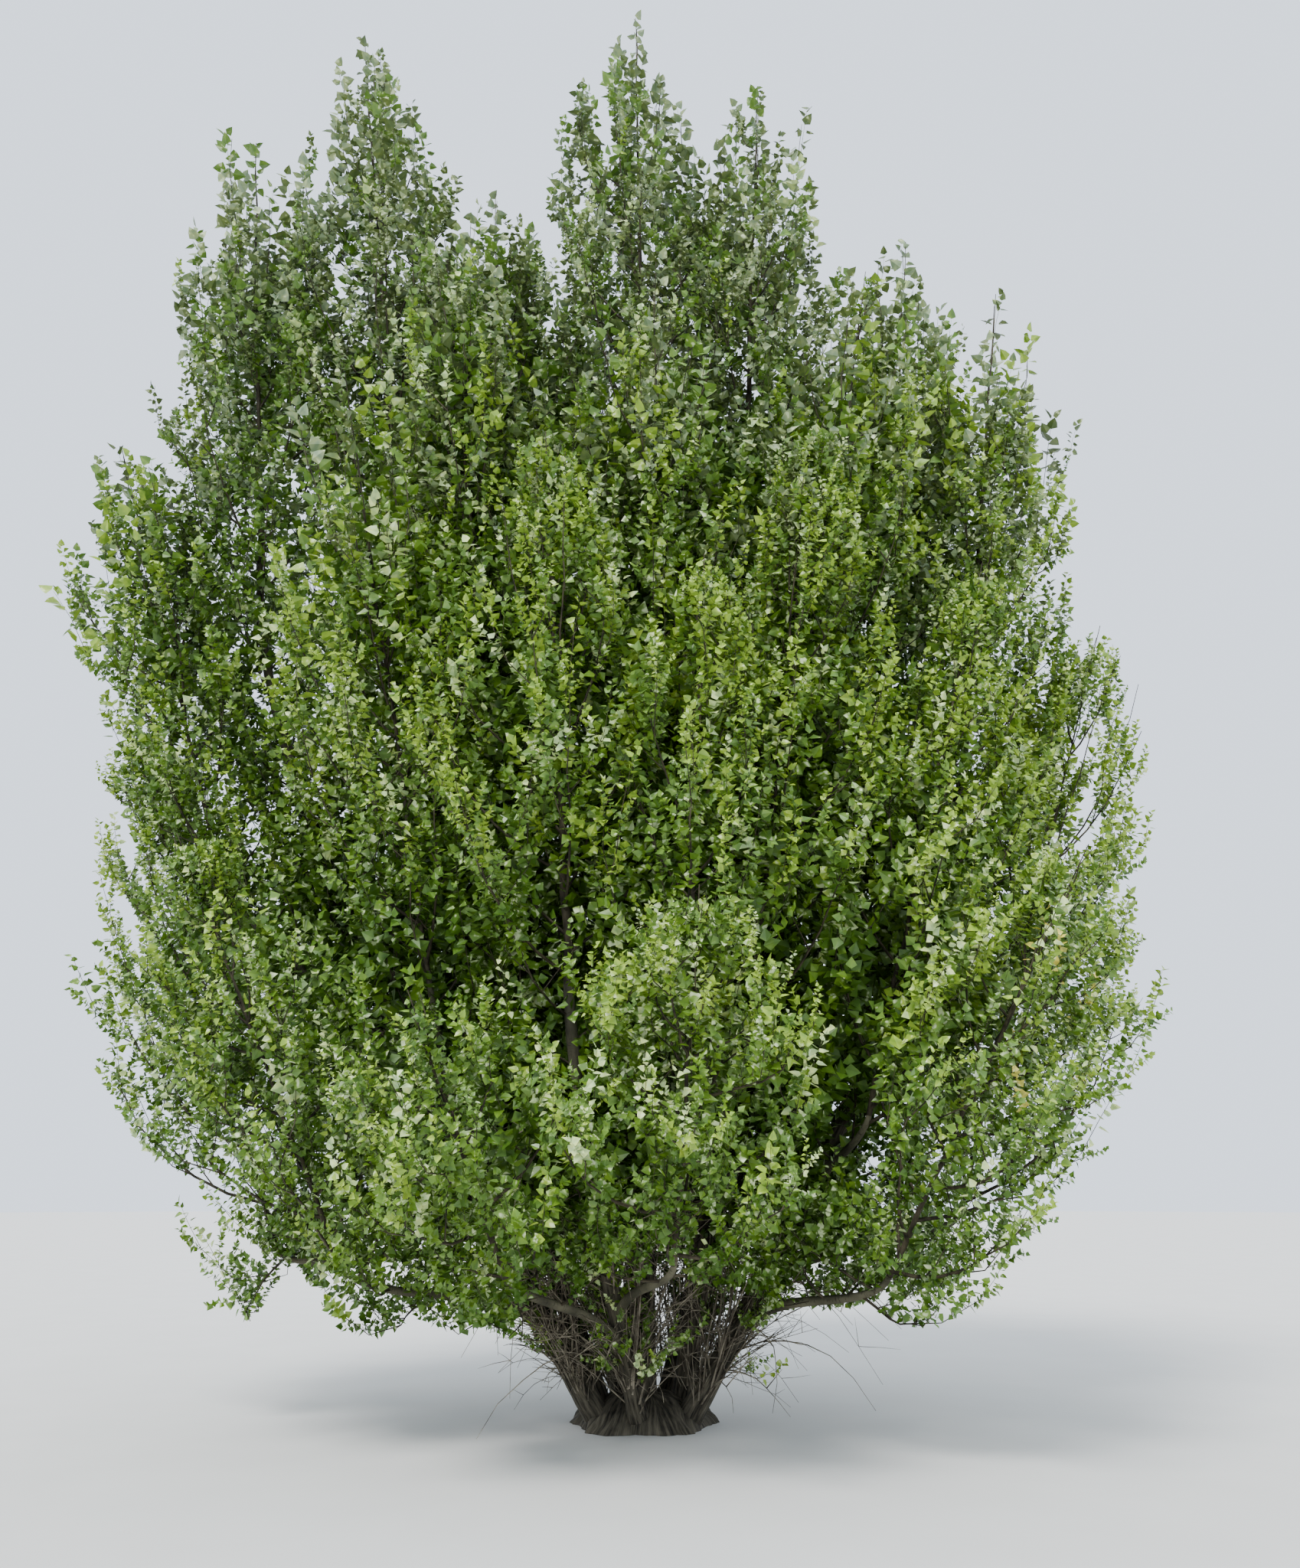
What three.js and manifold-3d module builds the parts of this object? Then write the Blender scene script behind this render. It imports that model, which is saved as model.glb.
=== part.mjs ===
// An open-grown poplar: one clump of stems from a single stool, each stem and bough ending
// in an upright, pointed mass of foliage. Millimetres, +Z up, origin on the flat cut of the
// stool at ground level, -Y towards the side that the tree is looked at from.
import * as THREE from "three";
import { mergeVertices } from "three/addons/utils/BufferGeometryUtils.js";
import Module from "manifold-3d";

const wasm = await Module();
wasm.setup();

// Driving dimensions of the wood.
const CLEARANCE = 0.3; // between two pieces that meet
const SMALLEST_EDGE = 2; // where joined shapes cross, edges under this are merged
const STOOL_TOP = 380; // height at which the stems leave the stool
const STUMP_FOOT = 25; // where a stem's stump starts, inside the stool
const STOOL = { radius: 575, height: 420, sunk: 205, lobes: 5, lobe: 0.08, sides: 13, rows: 10 };
const ROOT_FLARE = 0.3; // how much wider a stem is where it leaves the ground
const FLARE_HEIGHT = 130;
const STEM_TIP_RADIUS = 34;
const BOUGH_SHARE = 0.6; // of the stem's own radius at the fork
const BOUGH_TIP_RADIUS = 20;
const STEM_SWEEP = 1.35; // above 1, a stem leans out low down and stands up higher
const BOUGH_START_LEAN = 48; // degrees from upright
const BOUGH_HANDLES = [0.35, 0.2]; // of its reach, at its start and its end
const SIDES = { stem: 7, bough: 5, twig: 3 };
const STEPS = { stump: 2, stem: 6, bough: 4, axis: 1, twig: 2 };

// Driving dimensions of the foliage. Each leaf stands for an upright spray of small ones.
const SPRAY = { length: 1000, width: 680, ridge: 12, back: 6, widest: 0.4, root: 4 };
const SPRAY_TRIES = 12; // ways a spray is turned before its place is left empty
const TWIGS = 5;
const TWIG_RADIUS = 17;
const TWIG_TIP_RADIUS = 12;
const LEAVES_ON_TWIG = [0.4, 0.78];
const LEAVES_ON_AXIS = [0.08, 0.33, 0.58, 0.82];
const GOLDEN_ANGLE = THREE.MathUtils.degToRad(137.5);
const END_SPRAY = 0.78; // size of the spray that ends a mass, beside the others
const FULL_SIZE_FROM = 4300; // length of the masses whose sprays have their full size
const SPACE_SLACK = 0.2; // how far past its border a mass may grow, as a share of its radius

// Stems: where each leaves the stool, by compass bearing from +X, and its radius there.
const STEMS = {
  centre: { bearing: 180, out: 0, radius: 98 },
  left_high: { bearing: 158, out: 310, radius: 86 },
  left_outer: { bearing: 212, out: 320, radius: 82 },
  right_high: { bearing: 20, out: 300, radius: 84 },
  right_outer: { bearing: -32, out: 330, radius: 80 },
  back_left: { bearing: 112, out: 310, radius: 78 },
  back_right: { bearing: 66, out: 330, radius: 76 },
  front: { bearing: -92, out: 300, radius: 66 },
};

// Foliage masses. Each row has a name, the stem that carries the mass, the height of the fork
// that its bough leaves from (0 where the mass is that stem's own head), the mass's tip, its
// length, its lean in degrees and its radius.
const MASS_TABLE = [
  ["centre", "centre", 0, [-100, 0, 13100], 5600, 1, 1150],
  ["left_high", "left_high", 0, [-2800, -200, 12500], 5400, 7, 1100],
  ["left_outer", "left_outer", 0, [-3850, 0, 11480], 5200, 6, 1000],
  ["right_high", "right_high", 0, [1160, 200, 12340], 5300, 3, 1050],
  ["right_outer", "right_outer", 0, [3290, -100, 9600], 4600, 8, 1050],
  ["back_left", "back_left", 0, [-2000, 2000, 12000], 5400, 8, 1250],
  ["back_right", "back_right", 0, [2000, 2000, 10700], 5200, 9, 1250],
  ["front", "front", 0, [-710, -2000, 6860], 4000, 9, 1050],
  ["left_inner", "left_high", 4800, [-1480, 150, 11000], 4500, 3, 980],
  ["right_mid", "right_outer", 3000, [2620, 450, 10680], 4800, 6, 950],
  ["mid_left", "left_high", 3100, [-1700, -1150, 9300], 4300, 8, 1000],
  ["mid_right", "right_high", 3300, [1900, -1000, 9100], 4300, 9, 1000],
  ["mid_front", "centre", 3400, [100, -1350, 8900], 4300, 8, 1000],
  ["far_left", "left_outer", 2500, [-4600, -300, 7830], 4100, 18, 900],
  ["low_left", "left_outer", 950, [-4350, 100, 5400], 4500, 21, 1100],
  ["low_left_front", "left_outer", 620, [-3150, -1750, 3900], 3100, 26, 1050],
  ["low_left_back", "left_high", 1100, [-3200, 1800, 5200], 4000, 22, 1150],
  ["front_left", "left_outer", 1500, [-2320, -1600, 7640], 4700, 12, 1050],
  ["front_mid", "front", 1300, [420, -2250, 5730], 3500, 12, 950],
  ["front_right", "right_high", 1700, [1300, -1800, 7100], 4500, 12, 1000],
  ["right_front", "right_outer", 1500, [2500, -1600, 6000], 4100, 16, 1050],
  ["low_front", "front", 750, [330, -3000, 3250], 2400, 30, 1100],
  ["low_front_left", "front", 560, [-1350, -2700, 2700], 1950, 35, 1100],
  ["low_right_front", "right_outer", 620, [2850, -2200, 3700], 3100, 31, 1200],
  ["low_right", "right_outer", 900, [3900, -100, 6200], 5000, 18, 1150],
  ["low_right_back", "back_right", 1100, [3000, 1900, 5400], 4100, 22, 1150],
  ["low_back_left", "back_left", 900, [-1500, 3200, 5200], 4000, 22, 1150],
  ["low_back", "back_right", 700, [1000, 3300, 4900], 3800, 23, 1150],
  ["back_mid", "back_left", 2600, [0, 2900, 9500], 5200, 11, 1200],
];
const MASSES = Object.fromEntries(
  MASS_TABLE.map(([name, stem, fork, tip, length, lean, girth]) => [
    name,
    { stem, fork, tip, length, lean, girth },
  ]),
);

const COLOURS = { bark: 0x5d564b, foliage: [0x4f7a34, 0x5f8a3a, 0x446d33] };
const bark = new THREE.MeshStandardMaterial({ color: COLOURS.bark, roughness: 0.95, metalness: 0 });
const foliage = COLOURS.foliage.map(
  (color) => new THREE.MeshStandardMaterial({ color, roughness: 0.6, metalness: 0 }),
);

// Repeatable random numbers from 0 to 1.
function seeded(seed) {
  let state = seed;
  return () => {
    state = (state * 48271) % 2147483647;
    return state / 2147483647;
  };
}

const polar = (bearing, spread, height) => {
  const angle = THREE.MathUtils.degToRad(bearing);
  return new THREE.Vector3(spread * Math.cos(angle), spread * Math.sin(angle), height);
};

// A point moved by the given amounts along the given directions.
function shifted(start, ...moves) {
  const point = start.clone();
  for (const [direction, amount] of moves) point.addScaledVector(direction, amount);
  return point;
}

// A closed geometry as a solid that can be joined and cut.
function solidOf(geometry) {
  const bare = geometry.clone();
  bare.deleteAttribute("normal");
  bare.deleteAttribute("uv");
  const merged = mergeVertices(bare, 1e-3);
  return new wasm.Manifold(
    new wasm.Mesh({
      numProp: 3,
      vertProperties: merged.attributes.position.array,
      triVerts: new Uint32Array(merged.index.array),
    }),
  );
}

// A joined or cut solid as a geometry again.
function geometryOf(solid) {
  const mesh = solid.getMesh();
  const position = new Float32Array(mesh.numVert * 3);
  for (let i = 0; i < mesh.numVert; i++) {
    const from = i * mesh.numProp;
    position.set(mesh.vertProperties.subarray(from, from + 3), i * 3);
  }
  const geometry = new THREE.BufferGeometry();
  geometry.setAttribute("position", new THREE.BufferAttribute(position, 3));
  geometry.setIndex(new THREE.BufferAttribute(mesh.triVerts, 1));
  const flat = geometry.toNonIndexed();
  flat.computeVertexNormals();
  return flat;
}

// A tapering limb: a cylinder whose rings are moved along a curve from one share of it to another.
function limb(curve, radiusAt, sides, steps, from = 0, to = 1) {
  const rod = new THREE.CylinderGeometry(1, 1, 1, sides, steps);
  const place = rod.attributes.position;
  const whole = curve.getPoint(1).sub(curve.getPoint(0)).normalize();
  const across = new THREE.Vector3(0, 0, 1).cross(whole);
  if (across.length() < 0.02) across.set(0, 1, 0);
  for (let i = 0; i < place.count; i++) {
    const share = from + (to - from) * (place.getY(i) + 0.5);
    const along = curve.getTangent(share);
    const side = across.clone().cross(along).normalize();
    const level = along.clone().cross(side);
    const radius = radiusAt(share);
    const point = shifted(
      curve.getPoint(share),
      [side, place.getX(i) * radius],
      [level, -place.getZ(i) * radius],
    );
    place.setXYZ(i, ...point.toArray());
  }
  return solidOf(rod);
}

// The curve of a stem: out from the stool low down, and upright by its head, where its end is
// square to the mass of foliage that it carries.
class StemCurve extends THREE.Curve {
  constructor(foot, head, axis) {
    super();
    this.foot = foot;
    this.head = head;
    this.axis = axis;
  }
  getPoint(share, target = new THREE.Vector3()) {
    const out = 1 - (1 - Math.min(share, 1)) ** STEM_SWEEP;
    target.lerpVectors(this.foot, this.head, out);
    target.z = THREE.MathUtils.lerp(this.foot.z, this.head.z, share);
    return target;
  }
  getTangent(share) {
    return share < 1 ? super.getTangent(share) : this.axis.clone();
  }
  shareAt(height) {
    return (height - this.foot.z) / (this.head.z - this.foot.z);
  }
}

const tipOf = (mass) => new THREE.Vector3(...mass.tip);

// Which way a mass points: up, and leaning away from the middle of the tree.
function axisOf(mass) {
  const tip = tipOf(mass);
  const bearing = Math.atan2(tip.y, tip.x);
  const lean = THREE.MathUtils.degToRad(mass.lean);
  return new THREE.Vector3(
    Math.sin(lean) * Math.cos(bearing),
    Math.sin(lean) * Math.sin(bearing),
    Math.cos(lean),
  );
}

const footOf = (mass) => shifted(tipOf(mass), [axisOf(mass), -mass.length]);

// Half the width of a mass's space at a share of its length: full low down, pointed at the tip.
function roomAt(mass, share) {
  const swell = Math.min(1, 0.45 + 1.9 * share);
  return mass.girth * swell * (1 - Math.max(0, share) ** 1.9 * 0.86);
}

// How far a point is along a mass's axis, as a share of its length, and away from it.
function placeIn(mass, point) {
  const offset = point.clone().sub(footOf(mass));
  const share = offset.dot(axisOf(mass)) / mass.length;
  const held = THREE.MathUtils.clamp(share, 0, 1);
  const away = point.distanceTo(shifted(footOf(mass), [axisOf(mass), held * mass.length]));
  return { share, away };
}

// Whether a point is in the mass's own space: inside its outline, and nearer to its axis than to
// any other mass's, each distance measured in that mass's own radius.
function inOwnSpace(name, point) {
  const mass = MASSES[name];
  const { share, away } = placeIn(mass, point);
  if (share < -0.06 || share > 1.02 || away > roomAt(mass, share) * 1.12) return false;
  const nearness = away / mass.girth - SPACE_SLACK;
  return Object.entries(MASSES).every(
    ([other, rival]) => other === name || placeIn(rival, point).away / rival.girth > nearness,
  );
}

// The wood: every stem and bough, and the stool.
const stems = {};
for (const [name, { bearing, out, radius }] of Object.entries(STEMS)) {
  const curve = new StemCurve(polar(bearing, out, 0), footOf(MASSES[name]), axisOf(MASSES[name]));
  const radiusAt = (share) =>
    THREE.MathUtils.lerp(STEM_TIP_RADIUS, radius, (1 - share) ** 0.85) *
    (1 + ROOT_FLARE * Math.exp((-share * curve.head.z) / FLARE_HEIGHT));
  const start = curve.shareAt(STOOL_TOP);
  const gap = CLEARANCE / curve.getTangent(start).z / curve.head.z;
  stems[name] = {
    curve,
    radiusAt,
    stump: limb(curve, radiusAt, SIDES.stem, STEPS.stump, curve.shareAt(STUMP_FOOT), start),
    solid: limb(curve, radiusAt, SIDES.stem, STEPS.stem, start + gap, 1),
  };
}

// The stool: a low mound with root lobes, cut flat at the ground, and a stump for each stem.
function makeStool() {
  const mound = new THREE.SphereGeometry(1, STOOL.sides, STOOL.rows).rotateX(Math.PI / 2);
  const place = mound.attributes.position;
  for (let i = 0; i < place.count; i++) {
    const [x, y, z] = [place.getX(i), place.getY(i), place.getZ(i)];
    const reach = STOOL.radius * (1 + STOOL.lobe * Math.sin(STOOL.lobes * Math.atan2(y, x)));
    place.setXYZ(i, x * reach, y * reach, z * STOOL.height - STOOL.sunk);
  }
  let stool = solidOf(mound);
  for (const { stump } of Object.values(stems)) stool = stool.add(stump);
  return stool.simplify(SMALLEST_EDGE).trimByPlane([0, 0, 1], 0);
}

// A bough: out of its stem, then bending up into its mass. It is cut to the stem's own round.
function makeBough(mass) {
  const { curve, radiusAt } = stems[mass.stem];
  const share = curve.shareAt(mass.fork);
  const from = curve.getPoint(share);
  const foot = footOf(mass);
  const bearing = Math.atan2(foot.y - from.y, foot.x - from.x);
  const lean = THREE.MathUtils.degToRad(BOUGH_START_LEAN);
  const heading = new THREE.Vector3(
    Math.sin(lean) * Math.cos(bearing),
    Math.sin(lean) * Math.sin(bearing),
    Math.cos(lean),
  );
  const reach = from.distanceTo(foot);
  const path = new THREE.CubicBezierCurve3(
    from,
    shifted(from, [heading, reach * BOUGH_HANDLES[0]]),
    shifted(foot, [axisOf(mass), -reach * BOUGH_HANDLES[1]]),
    foot,
  );
  const butt = radiusAt(share) * BOUGH_SHARE;
  const taper = (along) => THREE.MathUtils.lerp(butt, BOUGH_TIP_RADIUS, along ** 0.8);
  const grown = (at) => radiusAt(at) + CLEARANCE / Math.cos(Math.PI / SIDES.stem);
  const around = limb(curve, grown, SIDES.stem, STEPS.stem, curve.shareAt(STOOL_TOP), 1);
  return limb(path, taper, SIDES.bough, STEPS.bough).subtract(around);
}

const boughs = {};
for (const [name, mass] of Object.entries(MASSES)) if (mass.fork) boughs[name] = makeBough(mass);
const limbs = [...Object.values(stems).map((stem) => stem.solid), ...Object.values(boughs)];

// A leaf: a sphere of three sides and two rows, drawn out to a thin kite, ridged on one face.
function leaf(root, heading, facing, scale) {
  const across = heading.clone().cross(facing).normalize();
  const normal = heading.clone().cross(across).normalize();
  const kite = new THREE.SphereGeometry(1, 3, 2);
  const place = kite.attributes.position;
  for (let i = 0; i < place.count; i++) {
    const [x, y, z] = [place.getX(i), place.getY(i), place.getZ(i)];
    const along = y > 0.5 ? 1 : y < -0.5 ? 0 : SPRAY.widest;
    const point = shifted(
      root,
      [heading, along * SPRAY.length * scale - SPRAY.root],
      [across, ((z / Math.sin(Math.PI / 3)) * SPRAY.width * scale) / 2],
      [normal, x < -0.5 ? -SPRAY.ridge : x > 0.2 ? SPRAY.back : 0],
    );
    place.setXYZ(i, ...point.toArray());
  }
  return solidOf(kite);
}

// A shoot: a three-sided twig along a curve, whose rings go on into the leaf that ends it.
function shoot(curve, radiusAt, facing, scale, steps) {
  const cone = new THREE.ConeGeometry(1, 1, 3, steps + 2);
  const place = cone.attributes.position;
  const end = curve.getPoint(1);
  const heading = curve.getTangent(1);
  for (let i = 0; i < place.count; i++) {
    const ring = Math.round((place.getY(i) + 0.5) * (steps + 2));
    const round = new THREE.Vector2(place.getX(i), place.getZ(i)).normalize();
    const share = Math.min(ring / steps, 1);
    const along = ring > steps ? heading : curve.getTangent(share);
    const across = along.clone().cross(facing).normalize();
    const normal = across.clone().cross(along);
    const past = ring > steps ? (ring === steps + 1 ? SPRAY.widest : 1) * SPRAY.length * scale : 0;
    const radius = radiusAt(share);
    const wide = (SPRAY.width * scale) / 2 / Math.sin(Math.PI / 3);
    const blade = ring === steps + 1 ? [wide, SPRAY.ridge] : [0, 0];
    const [half, thick] = ring > steps ? blade : [radius, radius];
    const point = shifted(
      ring > steps ? end : curve.getPoint(share),
      [along, past],
      [across, round.x * half],
      [normal, round.y * thick],
    );
    place.setXYZ(i, ...point.toArray());
  }
  return solidOf(cone);
}

// A point on the straight stretches that a twig is made of.
function onTwig(curve, along) {
  const ring = Math.min(Math.floor(along * STEPS.twig), STEPS.twig - 1);
  const [from, to] = [ring, ring + 1].map((n) => curve.getPoint(n / STEPS.twig));
  return from.lerp(to, along * STEPS.twig - ring);
}

// Points of a leaf that have to stay in the mass's own space.
function outlineOf(root, heading, facing, scale) {
  const across = heading.clone().cross(facing).normalize();
  const length = SPRAY.length * scale;
  const half = (SPRAY.width * scale) / 2;
  return [
    shifted(root, [heading, length * 0.97]),
    shifted(root, [heading, length * SPRAY.widest], [across, half * 0.9]),
    shifted(root, [heading, length * SPRAY.widest], [across, -half * 0.9]),
  ];
}

// Every twig and leaf so far, with the mass that it belongs to.
const grown = [];
const near = (a, b) => a.minGap(b, 10) < 5;
const clearOf = (solid, name) =>
  !limbs.some((wood) => near(wood, solid)) &&
  !grown.some((piece) => piece.name !== name && near(piece.solid, solid));

// A mass of foliage: a stem up its axis, twigs round it by the golden angle, and leaves on both.
function growMass(name, seed) {
  const mass = MASSES[name];
  const random = seeded(seed);
  const axis = axisOf(mass);
  const side = new THREE.Vector3(0, 1, 0).cross(axis).normalize();
  const front = axis.clone().cross(side);
  const outward = (angle) =>
    shifted(new THREE.Vector3(), [side, Math.cos(angle)], [front, Math.sin(angle)]);
  const bottom = shifted(footOf(mass), [axis, CLEARANCE]);
  const young = THREE.MathUtils.clamp(mass.length / FULL_SIZE_FROM, 0.62, 1);
  const endLength = SPRAY.length * END_SPRAY * young;
  const stemCurve = new THREE.LineCurve3(bottom, shifted(tipOf(mass), [axis, -endLength]));
  const thick = mass.fork ? BOUGH_TIP_RADIUS : STEM_TIP_RADIUS;
  const axisRadius = (share) => THREE.MathUtils.lerp(thick, TWIG_TIP_RADIUS, share);
  const phase = random() * Math.PI * 2;
  const stem = shoot(stemCurve, axisRadius, outward(phase), END_SPRAY * young, STEPS.axis);
  const pieces = [stem];
  const blades = [leaf(stemCurve.getPoint(1), axis, outward(phase), END_SPRAY * young)];

  // The leaf is turned until it fits: in its space, and clear of all but the twig it grows from.
  const addLeaf = (root, angle, spread, scale, own) => {
    for (let attempt = 0; attempt < SPRAY_TRIES; attempt++) {
      const turn = angle + (random() - 0.5) * (1 + attempt * 0.55);
      const out = outward(turn);
      const heading = shifted(axis.clone(), [out, spread * (0.7 + 0.6 * random())]).normalize();
      const facing = outward(turn + (random() - 0.5) * 1.5);
      const size = young * scale * (1 - 0.035 * attempt);
      if (!outlineOf(root, heading, facing, size).every((point) => inOwnSpace(name, point))) continue;
      const made = leaf(root, heading, facing, size);
      if (pieces.some((piece) => piece !== own && near(piece, made))) continue;
      if (blades.some((blade) => near(blade, made)) || !clearOf(made, name)) continue;
      pieces.push(made);
      return;
    }
  };

  const twigs = [];
  for (let i = 0; i < TWIGS; i++) {
    const share = 0.02 + (0.66 * (i + 0.3)) / TWIGS;
    const angle = phase + GOLDEN_ANGLE * (i + 1);
    const start = shifted(bottom, [axis, share * mass.length]);
    for (let attempt = 0; attempt < 6; attempt++) {
      const turn = angle + (random() - 0.5) * 0.5 * attempt;
      const out = outward(turn);
      const reach = roomAt(mass, share + 0.12) * (0.52 + 0.12 * random()) * (1 - 0.09 * attempt);
      const rise = mass.length * (0.09 + 0.03 * random());
      const path = new THREE.QuadraticBezierCurve3(
        start,
        shifted(start, [out, reach * 0.7], [axis, rise * 0.35]),
        shifted(start, [out, reach], [axis, rise]),
      );
      const radius = (along) => THREE.MathUtils.lerp(TWIG_RADIUS, TWIG_TIP_RADIUS, along);
      const size = young * (0.85 + 0.25 * random());
      const facing = outward(turn + (random() - 0.5) * 1.2);
      const end = [path.getPoint(1), path.getTangent(1), facing, size];
      const outline = outlineOf(...end);
      if (!outline.every((point) => inOwnSpace(name, point))) continue;
      const made = shoot(path, radius, facing, size, STEPS.twig);
      if (pieces.slice(1).some((piece) => near(piece, made)) || !clearOf(made, name)) continue;
      if (near(blades[0], made)) continue;
      pieces.push(made);
      blades.push(leaf(...end));
      twigs.push({ path, turn, made });
      break;
    }
  }
  for (const { path, turn, made } of twigs)
    LEAVES_ON_TWIG.forEach((along, k) =>
      addLeaf(onTwig(path, along), turn + (k % 2 ? -1.2 : 1.2), 0.55, 0.85 + 0.3 * random(), made),
    );
  LEAVES_ON_AXIS.forEach((along, k) =>
    addLeaf(stemCurve.getPoint(along), phase + 2 + GOLDEN_ANGLE * (TWIGS + k), 0.5, 0.95, stem),
  );
  for (const solid of pieces) grown.push({ name, solid });
  return pieces.reduce((whole, piece) => whole.add(piece)).simplify(SMALLEST_EDGE);
}
const tree = new THREE.Group();
function addPiece(name, solid, material) {
  const mesh = new THREE.Mesh(geometryOf(solid), material);
  mesh.name = name;
  tree.add(mesh);
}

addPiece("stool", makeStool(), bark);
for (const [name, stem] of Object.entries(stems)) addPiece(`stem_${name}`, stem.solid, bark);
for (const [name, bough] of Object.entries(boughs)) addPiece(`bough_${name}`, bough, bark);
Object.keys(MASSES).forEach((name, i) =>
  addPiece(`foliage_${name}`, growMass(name, 7919 + 613 * i), foliage[i % foliage.length]),
);

export default tree;
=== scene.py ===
"""An open-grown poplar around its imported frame: bark on the limbs, and shoots and leaves in the masses.

Everything is in metres, +Z up, with the origin on the flat cut under the stool. The stems, boughs and
masses of foliage stand where the part's own solids do, and the twigs grow on by the same rule.
"""

from __future__ import annotations

import logging
import math
import operator
from collections.abc import Callable, Sequence
from dataclasses import dataclass, field
from enum import Enum

import bmesh
import bpy
import numpy as np
from mathutils import Matrix, Vector, noise

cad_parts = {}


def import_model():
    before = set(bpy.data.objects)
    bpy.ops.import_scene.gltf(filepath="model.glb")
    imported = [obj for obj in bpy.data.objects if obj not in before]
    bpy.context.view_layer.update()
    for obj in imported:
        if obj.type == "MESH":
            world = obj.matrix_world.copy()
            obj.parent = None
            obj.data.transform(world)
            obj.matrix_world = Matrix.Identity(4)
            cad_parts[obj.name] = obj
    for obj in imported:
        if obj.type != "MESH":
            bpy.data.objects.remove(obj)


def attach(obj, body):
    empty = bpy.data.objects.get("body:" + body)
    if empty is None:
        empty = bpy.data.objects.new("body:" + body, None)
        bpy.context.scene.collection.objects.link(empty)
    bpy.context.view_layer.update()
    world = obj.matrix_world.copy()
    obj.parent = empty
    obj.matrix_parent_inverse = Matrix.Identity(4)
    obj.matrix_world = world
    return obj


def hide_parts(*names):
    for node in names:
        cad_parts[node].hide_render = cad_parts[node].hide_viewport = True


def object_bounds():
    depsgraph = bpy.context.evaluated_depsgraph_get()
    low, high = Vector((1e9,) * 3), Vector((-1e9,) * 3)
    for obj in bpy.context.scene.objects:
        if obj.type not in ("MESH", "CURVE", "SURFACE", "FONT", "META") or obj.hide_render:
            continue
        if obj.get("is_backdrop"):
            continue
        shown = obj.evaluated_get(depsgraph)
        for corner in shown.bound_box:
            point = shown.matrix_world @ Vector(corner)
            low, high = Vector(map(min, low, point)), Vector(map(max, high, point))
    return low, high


LOG = logging.getLogger("poplar")
BODY = "root"
MM = 0.001

# The photograph's frame, and where it was taken from.
PHOTO_SIZE = (1698, 2048)
FOCAL_PIXELS = 1647
CAMERA_PLACE = (0.05, -9.9, 1.55)
CAMERA_PITCH = 18.0

# Sizes of the wood, as in the part's source.
STUMP_FOOT = 0.100
ROOT_FLARE = 0.3
FLARE_HEIGHT = 0.130
STEM_TIP_RADIUS = 0.034
BOUGH_SHARE = 0.6
BOUGH_TIP_RADIUS = 0.020
STEM_SWEEP = 1.35
STEM_TAPER = 0.85
BOUGH_TAPER = 0.8
BOUGH_START_LEAN = 48.0
BOUGH_HANDLES = (0.35, 0.20)
GOLDEN_ANGLE = math.radians(137.5)

BARK_LAYER = "along_limb"
# How far the tree may pass the solids' box: a share of its side, metres, and a leaf's reach less.
BOX_SHARE, BOX_SPARE, LEAF_REACH = 0.03, 0.010, 0.20
# A way in which no twig or shoot runs, so that a vector square to them can be found from it.
OFF_AXIS = (0.31, 0.87, 0.12)
TWIG_SIDES, TWIG_STEPS = 3, 6
TWIG_TAPER = 0.25
TWIG_WANDER = 0.016

FIRST_SEED, SEED_STEP = 7919, 613
DEAD_TWIG_SEED, THINNING_SEED, SPRIG_SEED = SEED_STEP, SEED_STEP + 1, SEED_STEP + 2
NO_LENGTH = 1e-12
SMALL_STEP = 1e-3
UP = np.array((0.0, 0.0, 1.0))


@dataclass(frozen=True)
class StemPlan:
    """Where a stem leaves the stool, and its radius there."""

    bearing: float
    out: float
    radius: float


@dataclass(frozen=True)
class MassPlan:
    """A mass of foliage: what carries it, its tip, and its length, lean and radius."""

    stem: str
    fork: float
    tip: tuple[float, float, float]
    length: float
    lean: float
    girth: float


STEMS = {
    "centre": StemPlan(180, 0.000, 0.098),
    "left_high": StemPlan(158, 0.310, 0.086),
    "left_outer": StemPlan(212, 0.320, 0.082),
    "right_high": StemPlan(20, 0.300, 0.084),
    "right_outer": StemPlan(-32, 0.330, 0.080),
    "back_left": StemPlan(112, 0.310, 0.078),
    "back_right": StemPlan(66, 0.330, 0.076),
    "front": StemPlan(-92, 0.300, 0.066),
}

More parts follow.
